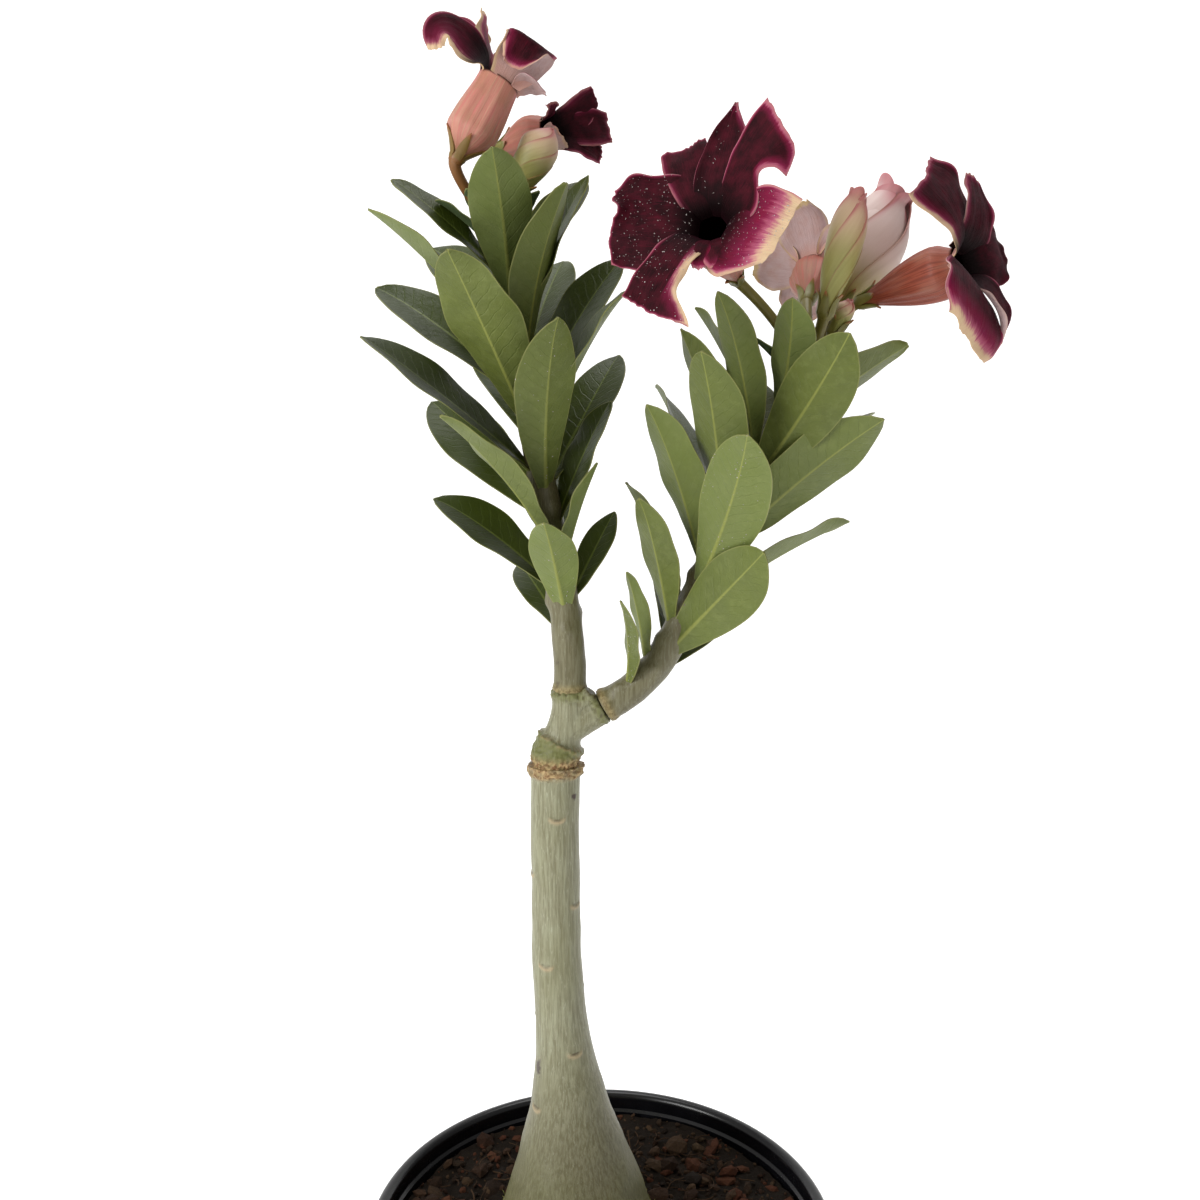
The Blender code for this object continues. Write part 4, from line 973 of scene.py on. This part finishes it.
def petal(patch, spec, shape, basis, foot, seed):
    """One petal, from its lists; each column across it follows its own line outwards."""
    length, outward = spec["size"] * shape["length"], bearing_vector(shape["turn"], 0)
    s, t = np.linspace(0, 1, PETAL_ROWS)[:, None], np.linspace(-1, 1, PETAL_COLS)
    ahead, face = [], []
    for share in s[:, 0]:
        lean, twist = math.radians(along_list(shape["lean"], share)), along_list(shape["twist"], share)
        forward = outward * math.sin(lean) + UP * math.cos(lean)
        face.append(turned(UP * math.sin(lean) - outward * math.cos(lean), forward, twist))
        ahead.append(turned(forward, face[-1], shape["bend"] * (0.5 - share)))
    ahead, face = np.array(ahead)[:, None], np.array(face)[:, None]
    side = np.cross(ahead, face)

    across = (t + 1) / 2
    curl = along_list(shape["tip"], across) * ease(s, shape["tip_from"], shape["tip_to"])
    curl = np.radians(curl)[..., None]
    stretch = along_list(shape["end"], across) / length * ease(s, 0.35, 1.0) * 1.55
    steps = (ahead * np.cos(curl) - face * np.sin(curl)) * (length / (PETAL_ROWS - 1))
    steps = steps * (1 + stretch[..., None])
    start = outward * (spec["throat"] - 0.3) + UP * (spec["tube"] - spec["sunk"])
    middle = start + np.concatenate([0 * steps[:1], np.cumsum((steps[1:] + steps[:-1]) / 2, 0)])
    lifted = face * np.cos(curl) + ahead * np.sin(curl)

    grown = ease(s, 0.08, 0.4)
    bend = shape["cup"] * t * 0.5 - along_list(shape["roll_left"], s) * ease(-t, 0.3, 1.0) * grown
    bend = np.radians(bend + along_list(shape["roll_right"], s) * ease(t, 0.3, 1.0) * grown)
    halves = spec["size"] * np.where(t < 0, along_list(shape["left"], s), along_list(shape["right"], s))
    centre = PETAL_COLS // 2

    def spread(rate):
        """Distances from the petal's middle line, added up across it."""
        rate = rate * halves / centre
        total = np.concatenate([0 * rate[:, :1], np.cumsum((rate[:, 1:] + rate[:, :-1]) / 2, 1)], 1)
        return total - total[:, [centre]]

    x, z, phase = spread(np.cos(bend)), spread(np.sin(bend)), seed * 7.0
    wavy = np.sin(8.0 * s + 2.2 * t + phase) + 0.6 * np.sin(17.0 * s - 3.1 * t + 2 * phase)
    wavy = wavy + 0.5 * np.sin(9.0 * t + 3 * phase) * s
    near = np.maximum(np.abs(t) ** 4, ease(s, 0.75, 1.0) * 0.8)
    z = z + shape["ruffle"] * wavy * near * ease(s, 0.15, 0.5)
    z = z + 0.16 * noise(stacked(t * 7, s * 2, seed * 11), 1.0, 5) * ease(s, 0.1, 0.4)
    ragged = noise(stacked(t * 9, s * 9, seed * 13), 1.0, 9)
    jagged = 0.3 * ragged * ease(np.abs(t), 0.8, 1.0) * np.sign(t)
    middle = middle + side * (x + jagged)[..., None] + lifted * z[..., None]
    middle = middle + ahead * (0.45 * ragged * ease(s, 0.85, 1.0))[..., None]
    thick = PETAL_THICK * (0.5 + 0.5 * (1 - np.maximum(np.abs(t) ** 4, s**6)))
    pale = np.maximum(shape["pale"], 0.05)
    rims = stacked((1 + t) * np.abs(halves) / pale[0], (1 - s) * length / pale[1],
                   (1 - t) * np.abs(halves) / pale[2])
    broad = ease(pale[rims.argmin(-1)], 0.6, 2.2)
    tint = np.tile(stacked(broad, shape["flush"], seed).reshape(-1, 3), (2, 1))
    marks, place = stacked(x, length * s), stacked(t, s, rims.min(-1))
    return blade(patch, middle @ basis.T + foot, thick, marks, place, tint)


def bloom(name, looks):
    """Petals and tube of one bloom, as two pieces; returns what leaf() does, for each petal."""
    spec = BLOOMS[name]
    foot, axis = flower_foot(name)
    basis = placed_basis(axis)
    patch, found = Patch(), []
    for k, shape in enumerate(spec["petals"]):
        found.append(petal(patch, spec, shape, basis, foot, (k * 0.31 + len(name) * 0.07) % 1))
    patch.piece(name + "_petals", looks["petal"], "petal", name, sharp=60)

    s = np.linspace(0.004, 1, TUBE_RINGS)
    closing = 1 - (spec["throat"] + TUBE_WALL) / tube_radius(spec, 1)
    narrow = 1 - closing * ease(s, min(spec["belly"] + 0.1, 0.8), 1.0)
    outer = stacked([tube_radius(spec, share) for share in s] * narrow, s * (spec["tube"] - 2.5))
    inner = outer[::-1] - [TUBE_WALL, 0]
    inner = inner[inner[:, 0] > TUBE_BORE_R]
    inner[-1, 1] = max(inner[-1, 1], 2.0)
    profile = np.concatenate([[(TUBE_BORE_R, 0.1)], outer, inner])
    share = profile[:, 1:] / spec["tube"]
    # inside is 1 on the tube's inner wall, which the tube look paints near black as shade.
    inside = np.concatenate([np.zeros(len(outer)), np.ones(len(inner) + 1)])[:, None]
    turn = np.linspace(0, 1, TUBE_SIDES, endpoint=False)
    ribs = 0.16 * np.cos(5 * 2 * np.pi * turn + 1.0) + 0.07 * np.cos(15 * 2 * np.pi * turn)
    grid = lathe_grid(profile, TUBE_SIDES)
    grid[..., :2] *= (1 + ribs * 0.35 * np.sin(np.pi * np.clip(share, 0, 1)) * (1 - inside))[..., None]
    # The turn is folded in half, so that its noise meets at the seam.
    marks = stacked(np.abs(turn - 0.5), share, inside)
    tube = Patch()
    add_tube(tube, grid @ basis.T + foot, blade=marks, tint=(spec["warm"], len(name) * 0.37, 0))
    tube.piece(name + "_tube", looks["tube"], "petal", name, sharp=60)
    return found


def bud(name, look):
    """Five petals that wrap round each other in a spiral, about a closed core."""
    spec = BUDS[name]
    lilac, green, length = spec["lilac"], spec["green"], spec["length"]
    foot, axis = flower_foot(name)
    basis = placed_basis(axis)
    shares = np.linspace(0, 1, BUD_ROWS)
    radii = [bud_radius(spec, share) for share in shares]
    core = [(max(r * 0.86, 0.4), share * length * 0.94) for r, share in zip(radii, shares)]
    patch = Patch()
    core = lathe_grid(core, CUP_SIDES) @ basis.T + foot
    add_tube(patch, core, blade=(0.5, 0.5, 0.0), tint=(lilac, green, 0.3))
    rng = random.Random(len(name) * 7)
    s, t = shares[:, None], np.linspace(0, 1, BUD_COLS)
    along = s * (1 - 0.10 * (2 * t - 0.8) ** 2)
    for k in range(5):
        reach = length * (1 + rng.uniform(-0.06, 0.02))
        radius = np.interp(along, shares, radii) * (0.93 + 0.16 * (1 - t) ** 1.5)
        radius = radius + spec["opening"] * ease(s, 0.75, 1.0) * (1.5 + 1.2 * (1 - t))
        radius = radius * (1 + 0.03 * np.sin(9 * t + 5 * s + k))
        angle = 2 * np.pi * k / 5 + np.radians(150) * t + np.radians(spec["twist"]) * along
        middle = stacked(radius * np.cos(angle), radius * np.sin(angle), along * reach + 0.3) @ basis.T + foot
        blade(patch, middle, FOLD_THICK, stacked(t, s), stacked(t, s, 0.0), (lilac, green, k * 0.7))
    patch.piece(name + "_folds", look, "bud", name, sharp=60)


# ---------------------------------------------------------------- trunk
def trunk_piece(look):
    """The grafted stock: swollen foot, tapering stem, leaf scars and the ragged ring of the graft."""
    top = [(trunk_x(height), 0, height, STEM_R) for height in (GRAFT_HEIGHT - GRAFT_HALF, GRAFT_HEIGHT + 2)]
    stops = smooth_line([*stock_stations(), *top], TRUNK_STEPS)
    grid, out = pipe_grid(stops[:, :3], stops[:, 3], TRUNK_SIDES)
    bearing, z, r = np.arctan2(out[..., 1], out[..., 0]), grid[..., 2], stops[:, 3:]

    def wrapped(radius, height):
        """Places for a noise that runs round the stem."""
        return stacked(np.cos(bearing) * radius, np.sin(bearing) * radius, height)

    swell = 0.45 * noise(grid, 26.0, 2) + 0.25 * noise(grid, 11.0, 5)
    swell = swell * ease(z, 120, 150) * np.clip(r / 12, 0.8, 2.2)
    ridge = wrapped(r, z * 0.16)
    swell = swell + 0.10 * noise(ridge, 1.1, 8) + 0.06 * noise(ridge, 0.55, 4)
    scar, dark = np.zeros_like(z), np.zeros_like(z)
    for turn, height in SCARS:
        a = ((bearing - math.radians(turn) + np.pi) % (2 * np.pi) - np.pi) * r
        q = z - height - 0.10 * a**2 + 0.6
        scar = np.maximum(scar, np.exp(-((q / 0.75) ** 2)) * ease(np.abs(a), 4.0, 2.6))
        dark = np.maximum(dark, 0.8 * np.exp(-(((q - 1.1) / 0.35) ** 2)) * ease(np.abs(a), 2.4, 1.2))
    ring = ease(z, 336.5, 339.5)
    ragged, fine = noise(wrapped(4, z * 0.5), 1.0, 3), noise(wrapped(10, z), 1.0, 6)
    swell = swell + 0.45 * scar - 0.3 * dark + ring * (1.2 + 0.9 * ragged + 0.5 * fine)
    base = ease(z, 205, 150) * 0.35 + ease(z, 160, 142) * 0.5
    brown = 0
    for turn, height, width, tall in ((-150, 219, 3.2, 4.5), (-38, 331, 1.8, 2.0)):
        away = ((bearing - math.radians(turn)) * r / width) ** 2 + ((z - height) / tall) ** 2
        brown = np.maximum(brown, np.exp(-away))
    dark = np.maximum(dark, ease(brown + 0.35 * fine, 0.5, 0.8))
    marks = stacked(scar, np.clip(ring * (0.8 + 0.5 * ragged), 0, 1), np.clip(base + 0.2 * swell, 0, 1))
    patch = Patch()
    add_tube(patch, grid + out * swell[..., None], blade=marks, place=stacked(dark, 0, z), tint=0.0)
    patch.piece("trunk_stock", look, "bark", "trunk", sharp=70)


def rod(foot, end, radii):
    """Stops (x, y, z, radius) of a straight rod."""
    return [(*(foot + (end - foot) * u), radii[0] + (radii[1] - radii[0]) * u) for u in (0, 0.5, 1)]


def crown_piece(look):
    """The scion above the graft: corky collar, neck, fork and a cut stub, grown together."""
    neck = []
    for height in np.linspace(GRAFT_HEIGHT - 2, NECK_TOP + 1, 7):
        radius = NECK_R + (STEM_R - 0.6 - NECK_R) * ease(height, FORK_HEIGHT, COLLAR_TOP - 6)
        neck.append((trunk_x(height), 0, height, radius))
    along = shoot_heading(SHOOTS["right_shoot"], 0)
    arm_foot = np.array([trunk_x(FORK_HEIGHT), 0, FORK_HEIGHT])
    arm_end = arm_foot + ARM_LENGTH * along
    stub_foot = np.array([trunk_x(NECK_TOP) + 3, -2.5, NECK_TOP - 4])
    stub_end = stub_foot + STUB_LENGTH * bearing_vector(-15, 45)
    patch = Patch()
    for stops in (neck, rod(arm_foot, arm_end, ARM_R), rod(stub_foot, stub_end, STUB_R)):
        line = smooth_line(stops, 8)
        add_tube(patch, pipe_grid(line[:, :3], line[:, 3], CROWN_SIDES)[0])
    obj = patch.piece("scion_fork", look, "bark", "trunk")
    remesh = obj.modifiers.new("remesh", "REMESH")
    remesh.mode, remesh.voxel_size = "VOXEL", CROWN_VOXEL * MM
    smooth = obj.modifiers.new("smooth", "SMOOTH")
    smooth.factor, smooth.iterations = 0.6, 14
    mesh = baked(obj)

    n = len(mesh.vertices)
    points, normals = np.zeros(n * 3), np.zeros(n * 3)
    mesh.vertices.foreach_get("co", points)
    mesh.vertices.foreach_get("normal", normals)
    points, normals = points.reshape(-1, 3) / MM, normals.reshape(-1, 3)
    x, _, z = points.T
    top = COLLAR_TOP - 1 - 0.5 * (x - trunk_x(COLLAR_TOP))
    collar = ease(z, top + 1.0, top - 0.8)
    crumb = noise(points, 1.1, 8)
    lip = np.exp(-((z - top) / 1.3) ** 2)
    shift = collar * (0.9 + 0.45 * layered(points, 3.2, 3, 4) + 0.25 * crumb) + lip * 0.9 * (1 + 0.5 * crumb)
    shift = shift - 0.9 * ease(z, 345.5, 343.0) * (1 - 0.6 * crumb)
    ring_left = np.exp(-((z - NECK_TOP) / 2.2) ** 2) * ease(x, -4, -7)
    ring_right = np.exp(-(((points - arm_end) @ along + 1.5) / 2.0) ** 2) * ease(x, -6, -3)
    cracks = np.clip(ring_left + ring_right, 0, 1)
    shift = shift + cracks * (0.35 + 0.45 * crumb) + 0.25 * noise(points, 7.0, 2) + 0.06 * crumb
    points = points + normals * shift[:, None]
    mesh.vertices.foreach_set("co", (points * MM).astype(np.float32).reshape(-1))
    cork = np.clip(ease(z, 347.5, 343.5) * (0.8 + 0.5 * crumb) + 0.35 * lip * (crumb > 0.1), 0, 1)
    cut = ease(np.linalg.norm(points - stub_end, axis=1), 3.2, 2.4)
    dark = np.clip(cut * 0.6 + cracks * (crumb < -0.25) * 0.5, 0, 1)
    mark_points(mesh, "blade", stacked(0, cork, np.clip(collar * 0.95 + cracks * 0.8, 0, 1)))
    mark_points(mesh, "place", stacked(dark, 0.15, z))
    mesh.update()


# ---------------------------------------------------------------- pot and potting mix
def pot_piece(look):
    """Moulded pot: a folded rim with a bead, a step under it, and a floor with drain holes."""
    band_foot, wall_top = POT_HEIGHT - RIM_BAND, POT_RIM_R - RIM_OUT
    inner_top, foot_r = wall_top - POT_WALL + 0.8, POT_BASE_R - POT_WALL
    lip = (POT_RIM_R - inner_top) / 2
    profile = [(0.01, 0), (POT_BASE_R - 9, 0), (POT_BASE_R - 8, 0), (POT_BASE_R - 2.2, 0),
               (POT_BASE_R - 0.7, 0.6), (POT_BASE_R, 2.2)]
    for k in range(1, 12):
        u = k / 12
        profile.append((POT_BASE_R + (wall_top - 1.5 - POT_BASE_R) * u, 2.2 + (band_foot - 4.2) * u))
    profile += [(wall_top - 1.6, band_foot - 2.0), (wall_top - 1.0, band_foot - 0.5),
                (wall_top + 0.4, band_foot),
                (POT_RIM_R - 1.6, band_foot), (POT_RIM_R - 0.9, band_foot + 0.5),
                (POT_RIM_R - 0.7, band_foot + 1.5), (POT_RIM_R - 0.5, POT_HEIGHT - 5)]
    for k in range(13):
        a = math.pi * k / 12
        profile.append((POT_RIM_R - lip + lip * math.cos(a), POT_HEIGHT - lip + lip * math.sin(a)))
    profile += [(inner_top - 0.1, POT_HEIGHT - 5), (inner_top - 0.2, POT_HEIGHT - 7.5),
                (inner_top - 1.3, POT_HEIGHT - 8.6), (inner_top - 1.6, POT_HEIGHT - 11)]
    for k in range(1, 9):
        u = k / 9
        profile.append((inner_top - 1.6 + (foot_r - inner_top + 1.6) * u,
                        POT_HEIGHT - 11 + (POT_WALL + 1 - POT_HEIGHT + 11) * u))
    profile += [(foot_r - 1, POT_WALL), (0.01, POT_WALL)]
    patch, cutters = Patch(), Patch()
    add_tube(patch, lathe_grid(profile, POT_SIDES))
    pot = patch.piece("pot_shell", look, "black_plastic", "pot", sharp=35)
    for k in range(DRAIN_HOLES):
        hole = lathe_grid([(DRAIN_R, -3), (DRAIN_R, POT_WALL + 3)], 28)
        add_tube(cutters, hole + DRAIN_RING_R * bearing_vector(360 * (k + 0.5) / DRAIN_HOLES, 0))
    cutter = cutters.piece("pot_cutter", look, "black_plastic")
    cut = pot.modifiers.new("cut", "BOOLEAN")
    cut.operation, cut.solver, cut.object = "DIFFERENCE", "EXACT", cutter
    baked(pot).set_sharp_from_angle(angle=math.radians(35))
    bpy.data.objects.remove(cutter)


def inner_radius(height):
    low, high = POT_WALL + 1, POT_HEIGHT - 3
    foot_r, top_r = POT_BASE_R - POT_WALL, POT_RIM_R - RIM_OUT - POT_WALL + 0.8
    return foot_r + (top_r - foot_r) * (height - low) / (high - low)


def soil_height(x, y):
    rough = layered(stacked(x, y, 0.0), 17.0, 4, 11)
    return SOIL_TOP - 1.6 + 2.4 * rough + 2.0 * ease(np.hypot(x - FOOT_X, y), 48, 34)


def soil_piece(look):
    """The bed of potting mix: closed down to the pot's floor, with a crumbly top."""
    top_r, low_r = inner_radius(SOIL_TOP - 4) - 0.8, inner_radius(POT_WALL + 1) - 1.4
    a = 2 * np.pi * np.arange(SOIL_SIDES) / SOIL_SIDES

    def ring(radius, height):
        return stacked(radius * np.cos(a), radius * np.sin(a), height)

    bed = ring(top_r * (1 - np.linspace(0, 1, SOIL_RINGS) * 0.998)[:, None], 0)
    z = soil_height(bed[..., 0], bed[..., 1]) + 0.7 * noise(bed, 2.6, 21) + 0.4 * noise(bed, 1.3, 22)
    z[0] = SOIL_TOP - 4.5
    bed[..., 2] = z
    grid = np.concatenate([[ring(low_r * 0.02, 2.7), ring(low_r, 2.7), ring(top_r, SOIL_TOP - 7)], bed])
    tone = 0.35 * ease(layered(grid, 9.0, 3, 5), 0.0, 0.8)
    patch = Patch()
    add_tube(patch, grid, tint=stacked(tone, 0, tone))
    patch.piece("soil_bed", look, "potting_mix", "soil", sharp=40)


def chip_shape():
    """A low icosphere as arrays, to be squashed into bark chips."""
    shape = bmesh.new()
    bmesh.ops.create_icosphere(shape, subdivisions=1, radius=1.0)
    points = np.array([v.co[:] for v in shape.verts])
    faces = np.array([[v.index for v in f.verts] for f in shape.faces])
    shape.free()
    return points, faces


def random_turn(rng, tilt):
    """A turn about Z and a lean of up to tilt degrees."""
    a = rng.uniform(0, FULL_TURN)
    b = math.radians(rng.uniform(-tilt, tilt))
    c = math.radians(rng.uniform(-tilt, tilt))
    rz = np.array([[math.cos(a), -math.sin(a), 0], [math.sin(a), math.cos(a), 0], [0, 0, 1]])
    rx = np.array([[1, 0, 0], [0, math.cos(b), -math.sin(b)], [0, math.sin(b), math.cos(b)]])
    ry = np.array([[math.cos(c), 0, math.sin(c)], [0, 1, 0], [-math.sin(c), 0, math.cos(c)]])
    return rx @ ry @ rz


def spot_on_soil(rng, edge, clear):
    """A random place within the edge and clear of the trunk."""
    while True:
        r, a = edge * math.sqrt(rng.random()), rng.uniform(0, 2 * math.pi)
        x, y = r * math.cos(a), r * math.sin(a)
        if math.hypot(x - FOOT_X, y) > clear:
            return x, y


def chips_piece(look, name, count, sizes, flatness, seed, red):
    """Loose bark chips and crumbs lying on the bed."""
    rng = random.Random(seed)
    base, faces = chip_shape()
    patch = Patch()
    for _ in range(count):
        size = sizes[0] + (sizes[1] - sizes[0]) * rng.random() ** 2.6
        x, y = spot_on_soil(rng, inner_radius(SOIL_TOP) - 2.0 - size, 33.0 + size * 0.6)
        scale = np.array([size, size * rng.uniform(0.45, 0.9), size * rng.uniform(*flatness)])
        lumps = 1 + 0.28 * noise(base * 3 + rng.uniform(0, 50), 1.7, seed)
        points = (base * lumps[:, None] * scale) @ random_turn(rng, 38).T
        z = float(soil_height(x, y)) + scale[2] * rng.uniform(0.0, 0.8)
        z = min(z, POT_HEIGHT - 3 - np.abs(points[:, 2]).max())
        tone = rng.random() ** 2
        redness = 1.0 if rng.random() < red else rng.uniform(0, 0.3)
        patch.add(points + [x, y, z], faces, tint=(tone, redness, rng.random()))
    patch.piece(name, look, "potting_mix", sharp=0)


def fibres_piece(look):
    """Fine roots and straw."""
    rng = random.Random(SEED + 5)
    patch = Patch()
    u = np.linspace(-0.5, 0.5, 6)
    for _ in range(260):
        length = rng.uniform(4, 15)
        x, y = spot_on_soil(rng, inner_radius(SOIL_TOP) - 3 - length / 2, 36)
        a = rng.uniform(0, FULL_TURN)
        bend = rng.uniform(-0.35, 0.35) * length
        px = x + math.cos(a) * u * length - math.sin(a) * bend * u**2 * 2
        py = y + math.sin(a) * u * length + math.cos(a) * bend * u**2 * 2
        pz = soil_height(px, py) + rng.uniform(0.4, 2.0) + rng.uniform(-2, 2) * u
        line = stacked(px, py, np.minimum(pz, POT_HEIGHT - 3))
        grid = pipe_grid(line, rng.uniform(0.14, 0.36), 5)[0]
        add_tube(patch, grid, tint=(rng.uniform(0.4, 1.0), 0.2, rng.random()))
    patch.piece("soil_fibres", look, "potting_mix", sharp=0)


def moss_piece(look):
    """Tufts of dry moss against the trunk's foot."""
    rng = random.Random(SEED + 9)
    patch = Patch()
    faces = [(0, 1, 2), (0, 2, 3), (3, 2, 4), (1, 0, 5), (1, 5, 2), (5, 0, 3), (2, 5, 4), (5, 3, 4)]
    for _ in range(1500):
        clump = rng.choice((-168, -150, -20, 0, 12, 55, 130))
        a = math.radians(clump + rng.gauss(0, 9))
        r = 33.6 + abs(rng.gauss(0, 3.4))
        x, y = FOOT_X + r * math.cos(a), r * math.sin(a)
        height, lean = rng.uniform(1.2, 3.4), rng.uniform(0, FULL_TURN)
        tip = np.array([math.cos(lean), math.sin(lean), 1.2]) * height * 0.7
        side = np.array([-math.sin(lean), math.cos(lean), 0]) * rng.uniform(0.18, 0.4)
        foot = np.array([x, y, float(soil_height(x, y)) - 0.3])
        middle = foot + tip * 0.6 + UP * 0.4
        points = [foot - side, foot + side, middle + side * 0.8, middle - side * 0.8, foot + tip]
        points.append(foot + np.cross(side, UP))
        patch.add(points, faces, tint=(rng.random(), rng.random(), 0))
    patch.piece("soil_moss", look, "potting_mix", sharp=0)


# ---------------------------------------------------------------- dew
def drop_faces():
    """Triangles of a drop, whose points are its rings, its top and its foot."""
    n, faces = DROP_SIDES, []
    for k in range(n):
        m = (k + 1) % n
        for row in (0, n):
            faces += [(row + k, row + m, row + n + m), (row + k, row + n + m, row + n + k)]
        faces += [(2 * n + k, 2 * n + m, 3 * n), (m, k, 3 * n + 1)]
    return faces


def dew_piece(look, spots):
    """Fine drops on some leaves and petals; each spot is (grid of points, outward directions, count)."""
    rng = random.Random(SEED + 2)
    patch, faces = Patch(), drop_faces()
    turns = [2 * math.pi * k / DROP_SIDES for k in range(DROP_SIDES)]
    for grid, normals, count in spots:
        rows, cols = grid.shape[:2]
        for _ in range(count):
            i = min(int(rows * (0.12 + 0.84 * rng.random())), rows - 2)
            j = min(1 + int((cols - 2) * rng.random()), cols - 2)
            u, v = rng.random(), rng.random()
            near, far = grid[i, j:j + 2] * (1 - u) + grid[i + 1, j:j + 2] * u
            p, up = near * (1 - v) + far * v, unit(normals[i, j])
            a = unit(np.cross(up, (0.3, 0.5, 0.8)))
            b = np.cross(up, a)
            size = 0.08 + 0.17 * rng.random() ** 3
            points = []
            for r, height in DROP_RINGS:
                for w in turns:
                    out = a * math.cos(w) + b * math.sin(w)
                    points.append(p + out * r * size + up * (height * size - 0.03))
            points += [p + up * size * 0.85, p - up * 0.05]
            patch.add(points, faces, tint=0.0)
    patch.piece("dew", look, "leaf", sharp=80)


# ---------------------------------------------------------------- the stage, in metres
def look_at(obj, place, aim):
    direction = unit(np.array(place) - np.array(aim))
    across = unit(np.cross(UP, direction))
    up = np.cross(direction, across)
    rows = [[across[k], up[k], direction[k], place[k]] for k in range(3)]
    obj.matrix_world = Matrix([*rows, [0, 0, 0, 1]])


def stage():
    """Camera, a world that is brighter towards one side and white to the camera, two lamps and a floor."""
    camera = bpy.data.cameras.new("camera")
    camera.lens, camera.sensor_width, camera.clip_start = 36, 36, 0.02
    obj = bpy.data.objects.new("camera", camera)
    obj.location = CAMERA_PLACE
    obj.rotation_euler = (math.radians(90 - CAMERA_DOWN), 0, 0)
    bpy.context.scene.collection.objects.link(obj)
    bpy.context.scene.camera = obj

    world = bpy.data.worlds.new("studio")
    bpy.context.scene.world = world
    world.use_nodes = True
    tree = world.node_tree
    soft, shown = tree.nodes["Background"], tree.nodes.new("ShaderNodeBackground")
    soft.inputs["Color"].default_value = (1.0, 0.99, 0.96, 1)
    shown.inputs["Color"].default_value = (1, 1, 1, 1)
    where, dot = tree.nodes.new("ShaderNodeTexCoord"), tree.nodes.new("ShaderNodeVectorMath")
    dot.operation = "DOT_PRODUCT"
    dot.inputs[1].default_value = BRIGHT_SIDE
    shade, path = tree.nodes.new("ShaderNodeMapRange"), tree.nodes.new("ShaderNodeLightPath")
    levels = {"From Min": -1, "From Max": 1, "To Min": WORLD_DARK, "To Max": WORLD_BRIGHT}
    for socket, value in levels.items():
        shade.inputs[socket].default_value = value
    mix = tree.nodes.new("ShaderNodeMixShader")
    for start, end in (
        (where.outputs["Generated"], dot.inputs[0]), (dot.outputs["Value"], shade.inputs["Value"]),
        (shade.outputs[0], soft.inputs["Strength"]), (path.outputs["Is Camera Ray"], mix.inputs[0]),
        (soft.outputs[0], mix.inputs[1]), (shown.outputs[0], mix.inputs[2]),
        (mix.outputs[0], tree.nodes["World Output"].inputs["Surface"]),
    ):
        tree.links.new(start, end)

    for name, place, aim, size, power in LAMPS:
        light = bpy.data.lights.new(name, "AREA")
        light.shape, light.size, light.energy = "DISK", size, power
        lamp = bpy.data.objects.new(name, light)
        look_at(lamp, place, aim)
        bpy.context.scene.collection.objects.link(lamp)

    floor_look = Look("floor_pale", 0.9, Base_Color=(0.9, 0.9, 0.9, 1), Emission_Color=(1, 1, 1, 1),
                      Emission_Strength=0.5, Specular_IOR_Level=0.0).material
    mesh = bpy.data.meshes.new("floor")
    line = [(FLOOR_FRONT, 0), (FLOOR_BACK, 0)]
    for a in np.linspace(0.1, 1.5, 12):
        line.append((FLOOR_BACK + FLOOR_BEND * math.sin(a), FLOOR_BEND * (1 - math.cos(a))))
    line.append((FLOOR_BACK + FLOOR_BEND, WALL_TOP))
    points = [(x, y, z) for y, z in line for x in (-FLOOR_HALF, FLOOR_HALF)]
    faces = [(k, k + 1, k + 3, k + 2) for k in range(0, len(points) - 2, 2)]
    mesh.from_pydata(points, [], faces)
    mesh.materials.append(floor_look)
    mesh.shade_smooth()
    floor = bpy.data.objects.new("floor", mesh)
    floor.location.z = -0.0005
    bpy.context.scene.collection.objects.link(floor)
    bpy.context.scene.view_settings.view_transform = "Standard"


# ---------------------------------------------------------------- everything
def main():
    stage()
    leaf_mat, bark_mat, stalk_mat = leaf_look(), bark_look(), stalk_look()
    looks = {"petal": petal_look(), "tube": tube_look()}
    bud_mat = bud_look()
    wet = []

    for node, spec in SHOOTS.items():
        side = node.split("_")[0]
        shoot = Shoot(shoot_stops(node))
        patch = Patch()
        rows, young = spiral_leaves(spec), young_leaves(spec)
        for i, row in enumerate(rows):
            _, low, normals = leaf(patch, shoot, row, i)
            if abs(row[1] + 90) < DEW_FACING and row[0] < shoot.length / 2:
                wet.append((low, -normals, spec["dew"]))
        for i, row in enumerate(young):
            leaf(patch, shoot, row, 50 + i, 1.0)
        patch.piece(side + "_leaves", leaf_mat, "leaf", node, sharp=60)
        stem_piece(side + "_stem", shoot, [*rows, *young], bark_mat, node)
        stalks_piece(side + "_stalks", shoot, stalk_mat, node)

    for name in BLOOMS:
        petals = bloom(name, looks)
        if name == "bloom_front":
            for k, count in DEW_ON_PETAL.items():
                top, _, normals = petals[k]
                wet.append((top, normals, count))
    for name in BUDS:
        bud(name, bud_mat)

    trunk_piece(bark_mat)
    crown_piece(bark_mat)
    pot_piece(pot_look())
    soil_piece(soil_look("potting_mix_bed", 0.5))
    loose = soil_look("potting_mix_loose", 1.0)
    chips_piece(loose, "soil_chips", 520, (1.6, 6.5), (0.25, 0.6), 31, 0.3)
    chips_piece(loose, "soil_crumbs", 1500, (0.5, 1.9), (0.5, 0.9), 57, 0.12)
    fibres_piece(loose)
    moss_piece(moss_look())
    dew_piece(dew_look(), wet)


main()
